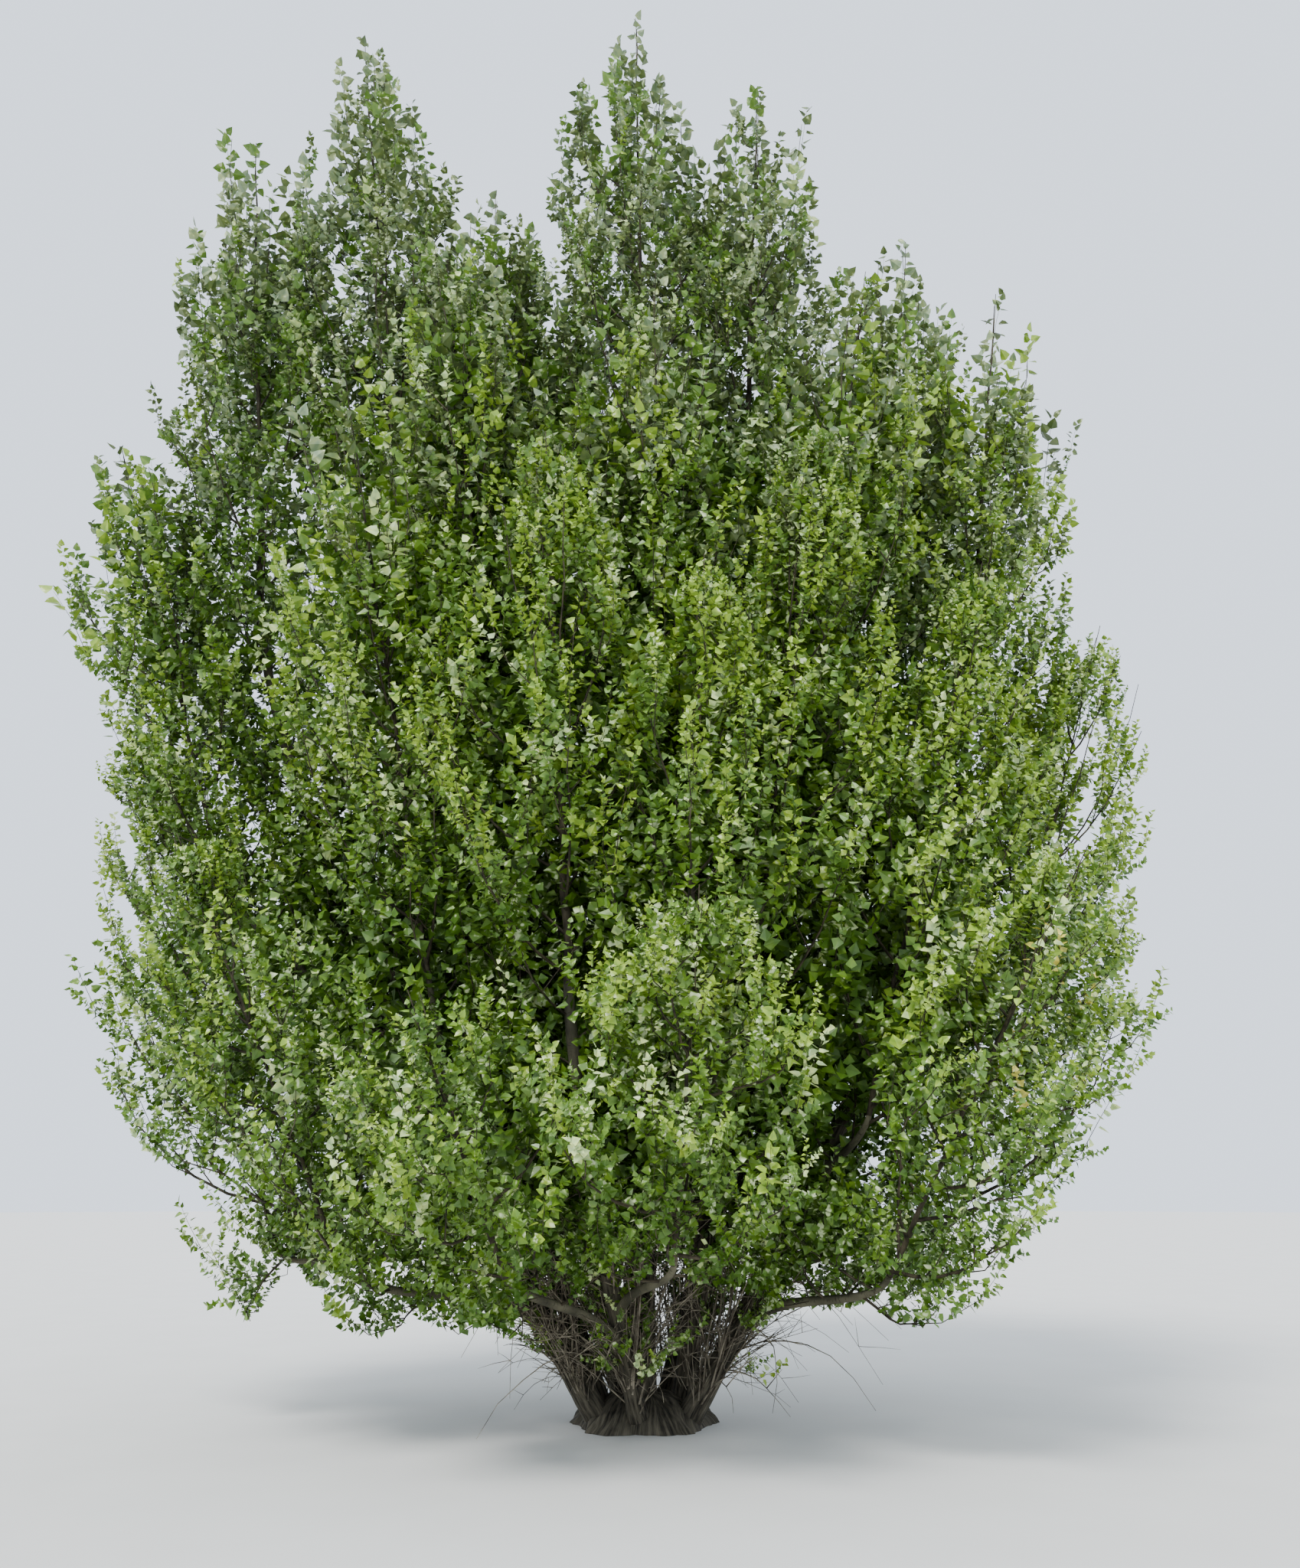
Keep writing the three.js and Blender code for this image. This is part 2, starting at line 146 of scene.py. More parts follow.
# Name, stem, height of the fork (0 for a stem's own head), tip, length, lean and radius, in millimetres.
MASS_TABLE = (
    ("centre", "centre", 0, (-100, 0, 13100), 5600, 1, 1150),
    ("left_high", "left_high", 0, (-2800, -200, 12500), 5400, 7, 1100),
    ("left_outer", "left_outer", 0, (-3850, 0, 11480), 5200, 6, 1000),
    ("right_high", "right_high", 0, (1160, 200, 12340), 5300, 3, 1050),
    ("right_outer", "right_outer", 0, (3290, -100, 9600), 4600, 8, 1050),
    ("back_left", "back_left", 0, (-2000, 2000, 12000), 5400, 8, 1250),
    ("back_right", "back_right", 0, (2000, 2000, 10700), 5200, 9, 1250),
    ("front", "front", 0, (-710, -2000, 6860), 4000, 9, 1050),
    ("left_inner", "left_high", 4800, (-1480, 150, 11000), 4500, 3, 980),
    ("right_mid", "right_outer", 3000, (2620, 450, 10680), 4800, 6, 950),
    ("mid_left", "left_high", 3100, (-1700, -1150, 9300), 4300, 8, 1000),
    ("mid_right", "right_high", 3300, (1900, -1000, 9100), 4300, 9, 1000),
    ("mid_front", "centre", 3400, (100, -1350, 8900), 4300, 8, 1000),
    ("far_left", "left_outer", 2500, (-4600, -300, 7830), 4100, 18, 900),
    ("low_left", "left_outer", 950, (-4350, 100, 5400), 4500, 21, 1100),
    ("low_left_front", "left_outer", 620, (-3150, -1750, 3900), 3100, 26, 1050),
    ("low_left_back", "left_high", 1100, (-3200, 1800, 5200), 4000, 22, 1150),
    ("front_left", "left_outer", 1500, (-2320, -1600, 7640), 4700, 12, 1050),
    ("front_mid", "front", 1300, (420, -2250, 5730), 3500, 12, 950),
    ("front_right", "right_high", 1700, (1300, -1800, 7100), 4500, 12, 1000),
    ("right_front", "right_outer", 1500, (2500, -1600, 6000), 4100, 16, 1050),
    ("low_front", "front", 750, (330, -3000, 3250), 2400, 30, 1100),
    ("low_front_left", "front", 560, (-1350, -2700, 2700), 1950, 35, 1100),
    ("low_right_front", "right_outer", 620, (2850, -2200, 3700), 3100, 31, 1200),
    ("low_right", "right_outer", 900, (3900, -100, 6200), 5000, 18, 1150),
    ("low_right_back", "back_right", 1100, (3000, 1900, 5400), 4100, 22, 1150),
    ("low_back_left", "back_left", 900, (-1500, 3200, 5200), 4000, 22, 1150),
    ("low_back", "back_right", 700, (1000, 3300, 4900), 3800, 23, 1150),
    ("back_mid", "back_left", 2600, (0, 2900, 9500), 5200, 11, 1200),
)
MASSES = {
    name: MassPlan(stem, fork * MM, tuple(v * MM for v in tip), length * MM, lean, girth * MM)
    for name, stem, fork, tip, length, lean, girth in MASS_TABLE
}


def unit(vectors: np.ndarray) -> np.ndarray:
    """Vectors of length 1 along the last axis."""
    return vectors / np.maximum(np.linalg.norm(vectors, axis=-1, keepdims=True), NO_LENGTH)


def mix(start: float, end: float, share: np.ndarray | float) -> np.ndarray | float:
    """The value at a share of the way from start to end."""
    return start + (end - start) * share


def rising(values: np.ndarray, start: float, run: float) -> np.ndarray:
    """0 up to a start, 1 from a run beyond it, and even between them."""
    return np.clip((values - start) / run, 0, 1)


def leaning(lean: float, bearing: float) -> np.ndarray:
    """The unit vector that leans from +Z by an angle, towards a bearing from +X."""
    level = math.sin(lean)
    return np.array((level * math.cos(bearing), level * math.sin(bearing), math.cos(lean)))


def around(way: np.ndarray, level: np.ndarray, turn: np.ndarray) -> np.ndarray:
    """Unit vectors square to a way, turned about it by some angles from a level one."""
    turn = np.asarray(turn)[..., None]
    return level * np.cos(turn) + np.cross(way, level) * np.sin(turn)


class SeededNumbers:
    """The same repeatable numbers from 0 to 1 that the part's source draws."""

    FACTOR, MODULUS = 48271, 2147483647

    def __init__(self, seed: int) -> None:
        """Starts the row of numbers from a seed."""
        self.state = seed

    def draw(self) -> float:
        """The next number."""
        self.state = self.state * self.FACTOR % self.MODULUS
        return self.state / self.MODULUS


class Mass:
    """The space of one mass of foliage: a spindle round an axis, full low down and pointed at its tip."""

    FOOT_WIDTH, SWELL = 0.45, 1.9
    TAPER, TAPER_POWER, PAST_TIP = 0.86, 1.9, 1.05

    def __init__(self, name: str, plan: MassPlan, seed: int) -> None:
        """Works out the spindle's frame.

        Args:
            name: The mass's name, without the word foliage.
            plan: Its sizes.
            seed: Where its seeded numbers start.
        """
        self.name, self.plan, self.seed = name, plan, seed
        self.tip = np.array(plan.tip)
        self.axis = leaning(math.radians(plan.lean), math.atan2(self.tip[1], self.tip[0]))
        self.foot = self.tip - self.axis * plan.length
        self.side = unit(np.cross((0.0, 1.0, 0.0), self.axis))
        self.phase = SeededNumbers(seed).draw() * math.tau

    def outward(self, angle: np.ndarray) -> np.ndarray:
        """Unit vectors square to the axis, at the given angles round it."""
        return around(self.axis, self.side, angle)

    def room(self, share: np.ndarray) -> np.ndarray:
        """Half the width of the space at shares of its length."""
        share = np.asarray(share, float)
        swell = np.minimum(1.0, self.FOOT_WIDTH + self.SWELL * share)
        taper = 1 - np.clip(share, 0, self.PAST_TIP) ** self.TAPER_POWER * self.TAPER
        return self.plan.girth * swell * taper

    def place(self, points: np.ndarray) -> tuple[np.ndarray, np.ndarray]:
        """How far points are along the axis, as a share of its length, and away from it."""
        share = (points - self.foot) @ self.axis / self.plan.length
        held = np.clip(share, 0, 1)[..., None] * self.plan.length
        return share, np.linalg.norm(points - (self.foot + self.axis * held), axis=-1)


class StemPath:
    """A stem's curve: out from the stool low down, and upright by its head."""

    def __init__(self, plan: StemPlan, mass: Mass) -> None:
        """Runs the curve from the stem's foot to the foot of the mass that it carries.

        Args:
            plan: Where the stem stands, and how thick it is.
            mass: The mass that it carries.
        """
        bearing = math.radians(plan.bearing)
        self.plan = plan
        self.foot = np.array((plan.out * math.cos(bearing), plan.out * math.sin(bearing), 0.0))
        self.head = mass.foot
        self.end = mass.axis

    def point(self, share: float) -> np.ndarray:
        """The point at a share of the stem's height."""
        out = 1 - max(1 - share, 0.0) ** STEM_SWEEP
        point = self.foot + (self.head - self.foot) * out
        point[2] = self.head[2] * share
        return point

    def tangent(self, share: float) -> np.ndarray:
        """Which way the stem runs at a share of its height."""
        if share >= 1:
            return self.end
        return unit(self.point(min(share + SMALL_STEP, 1.0)) - self.point(share - SMALL_STEP))

    def radius(self, share: float) -> float:
        """The stem's radius, with the flare at its root."""
        flare = 1 + ROOT_FLARE * math.exp(-share * self.head[2] / FLARE_HEIGHT)
        return mix(STEM_TIP_RADIUS, self.plan.radius, max(1 - share, 0.0) ** STEM_TAPER) * flare

    def share_at(self, height: float) -> float:
        """The share of the stem's height that is this high."""
        return height / self.head[2]


class BoughPath:
    """A bough's curve: out of its stem, then bending up into its mass."""

    def __init__(self, stem: StemPath, mass: Mass) -> None:
        """Runs the curve from the stem's middle to the foot of the mass.

        Args:
            stem: The stem that it forks from.
            mass: The mass that it carries.
        """
        share = stem.share_at(mass.plan.fork)
        start, foot = stem.point(share), mass.foot
        bearing = math.atan2(foot[1] - start[1], foot[0] - start[0])
        heading = leaning(math.radians(BOUGH_START_LEAN), bearing)
        self.length = float(np.linalg.norm(foot - start))
        first, last = (part * self.length for part in BOUGH_HANDLES)
        self.marks = (start, start + heading * first, foot - mass.axis * last, foot)
        self.butt = stem.radius(share) * BOUGH_SHARE

    def point(self, share: float) -> np.ndarray:
        """The point at a share of the curve."""
        a, b, c, d = self.marks
        rest = 1 - share
        return a * rest**3 + b * 3 * rest**2 * share + c * 3 * rest * share**2 + d * share**3

    def tangent(self, share: float) -> np.ndarray:
        """Which way the bough runs at a share of the curve."""
        a, b, c, d = self.marks
        rest = 1 - share
        return unit((b - a) * rest**2 + (c - b) * 2 * rest * share + (d - c) * share**2)

    def radius(self, share: float) -> float:
        """The bough's radius at a share of the curve."""
        return mix(self.butt, BOUGH_TIP_RADIUS, share**BOUGH_TAPER)


class Choice(Enum):
    """A choice that is also known by its number."""

    @property
    def number(self) -> int:
        """Its place in the order of the choices."""
        return list(type(self)).index(self)


class ShaderValue:
    """A number that a material works out, with the usual operators."""

    def __init__(self, sheet: "NodeSheet", socket: bpy.types.NodeSocket) -> None:
        """Wraps an output socket."""
        self.sheet, self.socket = sheet, socket

    def _math(self, operation: str, *values: "ShaderValue | float") -> "ShaderValue":
        """A Math node on some values, in order."""
        return self.sheet.number("ShaderNodeMath", {"operation": operation}, dict(enumerate(values)))

    def __add__(self, other: "ShaderValue | float") -> "ShaderValue":
        """The sum."""
        return self._math("ADD", self, other)

    def __sub__(self, other: "ShaderValue | float") -> "ShaderValue":
        """The difference."""
        return self._math("SUBTRACT", self, other)

    def __rsub__(self, other: float) -> "ShaderValue":
        """The difference from a number."""
        return self._math("SUBTRACT", other, self)

    def __mul__(self, other: "ShaderValue | float") -> "ShaderValue":
        """The product."""
        return self._math("MULTIPLY", self, other)

    def __gt__(self, other: "ShaderValue | float") -> "ShaderValue":
        """1 where this is the greater, and 0 elsewhere."""
        return self._math("GREATER_THAN", self, other)

    def between(self, low: float, high: float) -> "ShaderValue":
        """0 up to low, 1 from high, and smooth between them."""
        settings = {"interpolation_type": "SMOOTHSTEP"}
        return self.sheet.number("ShaderNodeMapRange", settings, {"Value": self, 1: low, 2: high})

    __radd__ = __add__
    __rmul__ = __mul__


class NodeSheet:
    """A new material and the nodes on it."""

    def __init__(self, name: str, layer: str = "") -> None:
        """Makes the material with a lone Principled shader.

        Args:
            name: The material's name.
            layer: The attribute that its patterns follow, or nothing for the piece's own coordinates.
        """
        self.layer = layer
        self.material = bpy.data.materials.new(name)
        self.material.use_nodes = True
        self.tree = self.material.node_tree
        self.shader = self.tree.nodes["Principled BSDF"]

    def node(
        self, kind: str, settings: dict[str, object], inputs: dict[str | int, object]
    ) -> bpy.types.Node:
        """Adds a node.

        Args:
            kind: The node's type.
            settings: Its properties, and a ramp's stops as pairs of place and colour.
            inputs: Values or links of its sockets, by name or number.

        Returns:
            The node.
        """
        made = self.tree.nodes.new(kind)
        for key, value in settings.items():
            if key == "stops":
                ramp = made.color_ramp
                for index, (place, colour) in enumerate(value):
                    stop = ramp.elements[index] if index < 2 else ramp.elements.new(place)
                    stop.position, stop.color = place, (*colour, 1.0)
            else:
                setattr(made, key, value)
        self.feed(made, inputs)
        return made

    def feed(self, node: bpy.types.Node, inputs: dict[str | int, object]) -> None:
        """Sets or links a node's sockets.

        Args:
            node: The node.
            inputs: Values or links, by the name or number of the socket.
        """
        for key, value in inputs.items():
            if isinstance(value, ShaderValue):
                value = value.socket
            if isinstance(value, bpy.types.NodeSocket):
                self.tree.links.new(value, node.inputs[key])
            else:
                node.inputs[key].default_value = value

    def number(
        self, kind: str, settings: dict[str, object], inputs: dict[str | int, object]
    ) -> ShaderValue:
        """A node's first output, as a value."""
        return ShaderValue(self, self.node(kind, settings, inputs).outputs[0])

    def place(self) -> bpy.types.NodeSocket:
        """The coordinates that patterns follow."""
        if self.layer:
            return self.node("ShaderNodeAttribute", {"attribute_name": self.layer}, {}).outputs["Vector"]
        return self.node("ShaderNodeTexCoord", {}, {}).outputs["Object"]

    def stretched(self, scale: tuple[float, float, float]) -> bpy.types.NodeSocket:
        """The coordinates that patterns follow, scaled along each axis."""
        return self.node("ShaderNodeMapping", {}, {"Vector": self.place(), "Scale": scale}).outputs[0]

    def cloud(self, scale: tuple[float, float, float], detail: float, rough: float = 0.5) -> ShaderValue:
        """Noise with so many waves a metre along each axis."""
        inputs = {"Vector": self.stretched(scale), "Scale": 1.0, "Detail": detail, "Roughness": rough}
        return self.number("ShaderNodeTexNoise", {}, inputs)

    def ramp(self, factor: ShaderValue, stops: Sequence[tuple[float, tuple]]) -> bpy.types.NodeSocket:
        """A colour from a ramp."""
        return self.node("ShaderNodeValToRGB", {"stops": stops}, {"Fac": factor}).outputs["Color"]

    def blend(self, factor: ShaderValue, first: object, second: object) -> bpy.types.NodeSocket:
        """Two colours mixed."""
        inputs = {"Factor": factor, 6: first, 7: second}
        return self.node("ShaderNodeMix", {"data_type": "RGBA"}, inputs).outputs[2]

    def bump(self, height: ShaderValue, strength: float, distance: float) -> None:
        """Feeds a bump to the shader's normal."""
        inputs = {"Height": height, "Strength": strength, "Distance": distance}
        self.feed(self.shader, {"Normal": self.node("ShaderNodeBump", {}, inputs).outputs[0]})


def linear(red: int, green: int, blue: int) -> tuple[float, float, float]:
    """A colour of a picture, 0 to 255 a channel, as a shader's linear colour."""
    shares = (red / 255, green / 255, blue / 255)
    return tuple(v / 12.92 if v <= 0.04045 else ((v + 0.055) / 1.055) ** 2.4 for v in shares)


def scaled(colour: tuple[float, float, float], share: float) -> tuple[float, float, float]:
    """A colour made lighter or darker."""
    return tuple(min(v * share, 1.0) for v in colour)


@dataclass(frozen=True)
class BarkFinish:
    """Furrowed bark, near black in its cracks on the stems, and smoother and paler on thin limbs."""

    crack: tuple[int, int, int] = (26, 23, 18)
    ridge: tuple[int, int, int] = (92, 86, 72)
    young_dark: tuple[int, int, int] = (56, 54, 42)
    young_light: tuple[int, int, int] = (106, 102, 82)
    # How much lighter the ridge tops are: the colour grows lighter towards the top of the relief.
    ridge_top_lift: float = 1.5
    scar: float = 1.3
    scars_from: float = 0.63
    scar_strength: float = 0.55
    young_radius: float = 0.026
    old_radius: float = 0.068
    wander: float = 0.0016
    patch_waves: tuple[float, float, float] = (9.0, 9.0, 1.3)
    furrow_waves: tuple[float, float, float] = (42.0, 42.0, 5.5)
    scar_waves: tuple[float, float, float] = (26.0, 26.0, 110.0)
    smooth_waves: tuple[float, float, float] = (7.0, 7.0, 3.0)
    roughness: float = 0.95
    young_sheen: float = 0.14
    specular: float = 0.25
    bump: tuple[float, float] = (0.8, 0.012)

    def material(self) -> bpy.types.Material:
        """The bark's material."""
        sheet = NodeSheet("furrowed_bark", BARK_LAYER)
        axes = sheet.node("ShaderNodeSeparateXYZ", {}, {"Vector": sheet.place()}).outputs
        across, over = (ShaderValue(sheet, axes[name]) for name in "XY")
        patches = sheet.cloud(self.patch_waves, 3.0)
        square = across * across + over * over + patches * self.wander - self.wander / 2
        young = 1.0 - square.between(self.young_radius**2, self.old_radius**2)
        furrows = sheet.cloud(self.furrow_waves, 6.0, 0.62)
        crack, ridge = linear(*self.crack), linear(*self.ridge)
        old = sheet.ramp(furrows, ((0.36, crack), (0.60, ridge), (0.78, scaled(ridge, self.ridge_top_lift))))
        marks = sheet.cloud(self.scar_waves, 2.0)
        stops = ((0.35, linear(*self.young_dark)), (0.68, linear(*self.young_light)))
        smooth = sheet.ramp(sheet.cloud(self.smooth_waves, 5.0), stops)
        scars = (marks > self.scars_from) * self.scar_strength
        marked = sheet.blend(scars, smooth, (*scaled(crack, self.scar), 1.0))
        sheet.feed(
            sheet.shader,
            {
                "Base Color": sheet.blend(young, old, marked),
                "Roughness": self.roughness - young * self.young_sheen,
                "Specular IOR Level": self.specular,
            },
        )
        sheet.bump(furrows * (1.15 - young) + marks * young * 0.15, *self.bump)
        return sheet.material


@dataclass(frozen=True)
class TwigFinish:
    """Young twigs, or dead grey ones."""

    name: str
    dark: tuple[int, int, int]
    light: tuple[int, int, int]
    streak_waves: tuple[float, float, float] = (16.0, 16.0, 7.0)
    grain_waves: tuple[float, float, float] = (120.0, 120.0, 60.0)
    roughness: float = 0.95
    streak_sheen: float = 0.25
    specular: float = 0.3
    bump: tuple[float, float] = (0.4, 0.002)

    def material(self) -> bpy.types.Material:
        """The twigs' material."""
        sheet = NodeSheet(self.name)
        streaks = sheet.cloud(self.streak_waves, 4.0)
        stops = ((0.35, linear(*self.dark)), (0.66, linear(*self.light)))
        sheet.feed(
            sheet.shader,
            {
                "Base Color": sheet.ramp(streaks, stops),
                "Roughness": self.roughness - streaks * self.streak_sheen,
                "Specular IOR Level": self.specular,
            },
        )
        sheet.bump(sheet.cloud(self.grain_waves, 2.0), *self.bump)
        return sheet.material


@dataclass(frozen=True)
class LeafFinish:
    """A leaf material in one green: leaf by leaf it is a little lighter, darker, warmer or cooler, and a
    few leaves are pale, for their undersides and as painted sky glint.
    """

    name: str
    colour: tuple[int, int, int]
    roughness: float
    # The pale colour of a few leaves: pale undersides, mixed with painted highlights where leaves catch the
    # sky.
    underside_and_glint: tuple[int, int, int] = (220, 232, 182)
    underside_and_glint_shares: tuple[float, float] = (0.32, 0.68)
    warmer: tuple[float, float, float] = (1.20, 1.12, 0.90)
    cooler: tuple[float, float, float] = (0.66, 0.74, 0.80)
    leaf_waves: tuple[float, float, float] = (17.0, 17.0, 17.0)
    drift_waves: tuple[float, float, float] = (0.8, 0.8, 0.6)
    leaf_share: float = 0.8
    drift_share: float = 0.2
    rougher: float = 0.12
    specular: float = 0.5
    vein_waves: tuple[float, float, float] = (210.0, 210.0, 210.0)
    bump: tuple[float, float] = (0.25, 0.0012)

    def material(self) -> bpy.types.Material:
        """The leaves' material."""
        sheet = NodeSheet(self.name)
        base = linear(*self.colour)
        warm, cool = (tuple(map(operator.mul, base, shift)) for shift in (self.warmer, self.cooler))
        own, pale = self.underside_and_glint_shares
        pale_and_glint = tuple(own * v + pale * w for v, w in zip(base, linear(*self.underside_and_glint)))
        leaf_by_leaf = sheet.cloud(self.leaf_waves, 1.0)
        drift = sheet.cloud(self.drift_waves, 2.0)
        # The last stop is pale undersides and painted sky glint.
        stops = ((0.36, cool), (0.52, base), (0.60, warm), (0.66, pale_and_glint))
        tone = sheet.ramp(leaf_by_leaf * self.leaf_share + drift * self.drift_share, stops)
        sheet.feed(
            sheet.shader,
            {
                "Base Color": tone,
                "Roughness": self.roughness + leaf_by_leaf * self.rougher,
                "Specular IOR Level": self.specular,
            },
        )
        sheet.bump(sheet.cloud(self.vein_waves, 2.0), *self.bump)
        return sheet.material


class LeafTint(Choice):
    """The greens that the sprays are dealt: colour, slot and roughness."""

    # DEEP, MID, COOL and BRIGHT are dealt by how much light a shoot is taken to get: the darker greens are
    # painted shade, the lighter ones painted light.
    DEEP = ((74, 108, 18), "foliage_dark", 0.44)
    MID = ((97, 130, 28), "foliage_mid", 0.38)
    COOL = ((100, 132, 48), "foliage_mid", 0.35)
    BRIGHT = ((140, 168, 54), "foliage_light", 0.38)
    OLIVE = ((92, 108, 54), "foliage_dark", 0.42)
    # GREY goes to lit shoots at the top: the leaves' grey-green, with painted sky reflection.
    GREY = ((140, 156, 112), "foliage_mid", 0.38)
    # PALE goes only to lit shoots: pale leaf undersides, with painted sky glint.
    PALE = ((190, 208, 140), "foliage_light", 0.42)
    YELLOW = ((196, 186, 78), "foliage_light", 0.46)

    @property
    def slot(self) -> str:
        """The slot listed with this tint."""
        return self.value[1]

    def material(self) -> bpy.types.Material:
        """The tint's leaf material."""
        colour, _, roughness = self.value
        return LeafFinish(f"leaf_{self.name.lower()}", colour, roughness).material()


def dress(piece: bpy.types.Object, material: bpy.types.Material, nodes: Sequence[str]) -> None:
    """Gives a piece its material and body, hides the nodes that it stands for, and logs its triangles.

    Args:
        piece: The finished piece.
        material: What it is made of.
        nodes: The nodes that it stands for, if any.
    """
    piece.data.materials.clear()
    piece.data.materials.append(material)
    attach(piece, BODY)
    if nodes:
        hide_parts(*nodes)
    count = sum(len(face.vertices) - 2 for face in piece.data.polygons)
    LOG.info("%s: %d triangles, for %d nodes", piece.name, count, len(nodes))


def object_from(name: str, data: bpy.types.ID) -> bpy.types.Object:
    """An object for a mesh, a lamp or a camera, in the scene."""
    made = bpy.data.objects.new(name, data)
    bpy.context.scene.collection.objects.link(made)
    return made


def finished(name: str, bm: bmesh.types.BMesh) -> bpy.types.Object:
    """The object for a bmesh, which is freed.

    Args:
        name: The piece's name.
        bm: Its shape.

    Returns:
        The object, in the scene.
    """
    mesh = bpy.data.meshes.new(name)
    bm.to_mesh(mesh)
    bm.free()
    return object_from(name, mesh)


def only(kind: type, parts: Sequence[object]) -> list:
    """Those of an operator's parts that are of one kind."""
    return [part for part in parts if isinstance(part, kind)]


def cut_at_ground(bm: bmesh.types.BMesh) -> None:
    """Cuts a closed shape flat at the ground, and smooths the shading of what is left.

    Args:
        bm: The shape, which is changed.
    """
    geometry = [*bm.verts, *bm.edges, *bm.faces]
    plane = {"plane_co": (0, 0, 0), "plane_no": (0, 0, 1), "clear_inner": True}
    cut = bmesh.ops.bisect_plane(bm, geom=geometry, **plane)["geom_cut"]
    rim = only(bmesh.types.BMEdge, cut)
    if rim:
        bmesh.ops.contextual_create(bm, geom=rim)
    bmesh.ops.recalc_face_normals(bm, faces=bm.faces)
    for face in bm.faces:
        face.smooth = len(face.verts) <= 4


@dataclass(frozen=True)
class Ripple:
    """Noise with so many waves a metre across the grain of the bark and along it."""

    across: float
    along: float

    def at(self, x: float, y: float, z: float) -> Vector:
        """Where in the noise a place on the bark is."""
        return Vector((x * self.across, y * self.across, z * self.along))


@dataclass
class BarkLimb:
    """One tapering limb, with the furrows of its bark as relief."""

    name: str
    path: StemPath | BoughPath
    first: float
    sides: int
    rings: int
    furrow: float
    shift: float
    crowding: float = 1.0
    creases: Ripple = Ripple(24, 3.4)
    grit: Ripple = Ripple(58, 9)
    lumps: Ripple = Ripple(5, 1.7)
    lump_shift: tuple[float, float, float] = (7, 3, 1)
    lump_depth: float = 0.7
    ridge: float = 0.25
    crease_depth: float = 1.5
    grit_height: float = 0.35
    fade: tuple[float, float, float] = (0.18, 0.82, 1.6)

    def relief(self, place: Vector, height: float) -> float:
        """How far the bark stands out: furrows that fade up the tree, and slow swellings.

        Args:
            place: Where on the limb, as if it were straightened along +Z.
            height: How high that is above the ground.

        Returns:
            The height of the relief.
        """
        least, rest, fading = self.fade
        fade = least + rest * math.exp(-height / fading)
        crease = noise.noise(self.creases.at(*place))
        grit = noise.noise(self.grit.at(*place))
        lump = noise.noise(self.lumps.at(*place) + Vector(self.lump_shift))
        crest = self.ridge - abs(crease) * self.crease_depth + self.grit_height * grit
        return self.furrow * fade * crest + self.furrow * self.lump_depth * lump

    def build(self) -> bpy.types.Object:
        """The limb: a ring extruded along its path and pushed out by the relief.

        Returns:
            The object, in the scene.
        """
        bm = bmesh.new()
        layer = bm.verts.layers.float_vector.new(BARK_LAYER)
        bmesh.ops.create_circle(bm, cap_ends=True, radius=1.0, segments=self.sides)
        ring, edges = list(bm.verts), list(bm.edges)
        old, length = Matrix.Identity(4), self.shift
        side = Vector((0.0, 1.0, 0.0))
        for share in mix(self.first, 1.0, np.linspace(0, 1, self.rings + 1) ** self.crowding):
            along = Vector(self.path.tangent(share))
            side = (side - along * side.dot(along)).normalized()
            frame = Matrix.Identity(3)
            radius = self.path.radius(share)
            frame.col[0], frame.col[1], frame.col[2] = side * radius, along.cross(side) * radius, along
            new = Matrix.Translation(self.path.point(share)) @ frame.to_4x4()
            if share > self.first:
                grown = bmesh.ops.extrude_edge_only(bm, edges=edges)["geom"]
                ring, edges = only(bmesh.types.BMVert, grown), only(bmesh.types.BMEdge, grown)
                length += (new.translation - old.translation).length
            flat = old.inverted()
            for vert in ring:
                spoke = flat @ vert.co
                vert[layer] = Vector((spoke.x * radius, spoke.y * radius, length))
            bmesh.ops.transform(bm, matrix=new @ flat, verts=ring)
            old = new
        bmesh.ops.contextual_create(bm, geom=edges)
        bmesh.ops.recalc_face_normals(bm, faces=bm.faces)
        bm.normal_update()
        for vert in bm.verts:
            vert.co += vert.normal * self.relief(vert[layer], vert.co.z)
        cut_at_ground(bm)
        return finished(self.name, bm)


@dataclass
class Stool:
    """The low mound that every stem rises from, with root lobes and a flat cut at the ground."""

    radius: float = 0.575
    height: float = 0.420
    sunk: float = 0.205
    lobes: int = 5
    lobe: float = 0.08
    relief: float = 0.026
    wander: float = 0.30
    segments: tuple[int, int] = (120, 64)
    bark_radius: float = 0.36
    bark_shift: float = 5.0
    wavers: Ripple = Ripple(1.6, 3)
    creases: Ripple = Ripple(17, 5)
    swells: Ripple = Ripple(6, 5)
    lumps: float = 11
    ridge: float = 0.2
    crease_depth: float = 1.5
    swell_height: float = 0.8
    lump_height: float = 0.8

    def build(self) -> bpy.types.Object:
        """The mound: a sphere flattened, lobed, creased and cut at the ground.

        Returns:
            The object, in the scene.
        """
        bm = bmesh.new()
        layer = bm.verts.layers.float_vector.new(BARK_LAYER)
        turns, rings = self.segments
        bmesh.ops.create_uvsphere(bm, u_segments=turns, v_segments=rings, radius=1.0)
        for vert in bm.verts:
            x, y, z = vert.co
            angle = math.atan2(y, x)
            reach = self.radius * (1 + self.lobe * math.sin(self.lobes * angle))
            vert.co = Vector((x * reach, y * reach, z * self.height - self.sunk))
        bm.normal_update()
        for vert in bm.verts:
            angle = math.atan2(vert.co.y, vert.co.x)
            out = math.hypot(vert.co.x, vert.co.y)
            angle += self.wander * noise.noise(self.wavers.at(math.cos(angle), math.sin(angle), out))
            round_it = math.cos(angle) * self.bark_radius, math.sin(angle) * self.bark_radius
            spoke = Vector((*round_it, out - self.bark_shift))
            crease = noise.noise(self.creases.at(spoke.x, spoke.y, out))
            swell = noise.noise(self.swells.at(spoke.x, spoke.y, out))
            lump = noise.noise(vert.co * self.lumps)
            height = self.ridge - abs(crease) * self.crease_depth + self.swell_height * swell
            vert.co += vert.normal * self.relief * (height + self.lump_height * lump)
            vert[layer] = spoke
        cut_at_ground(bm)
        return finished("stool_bark", bm)


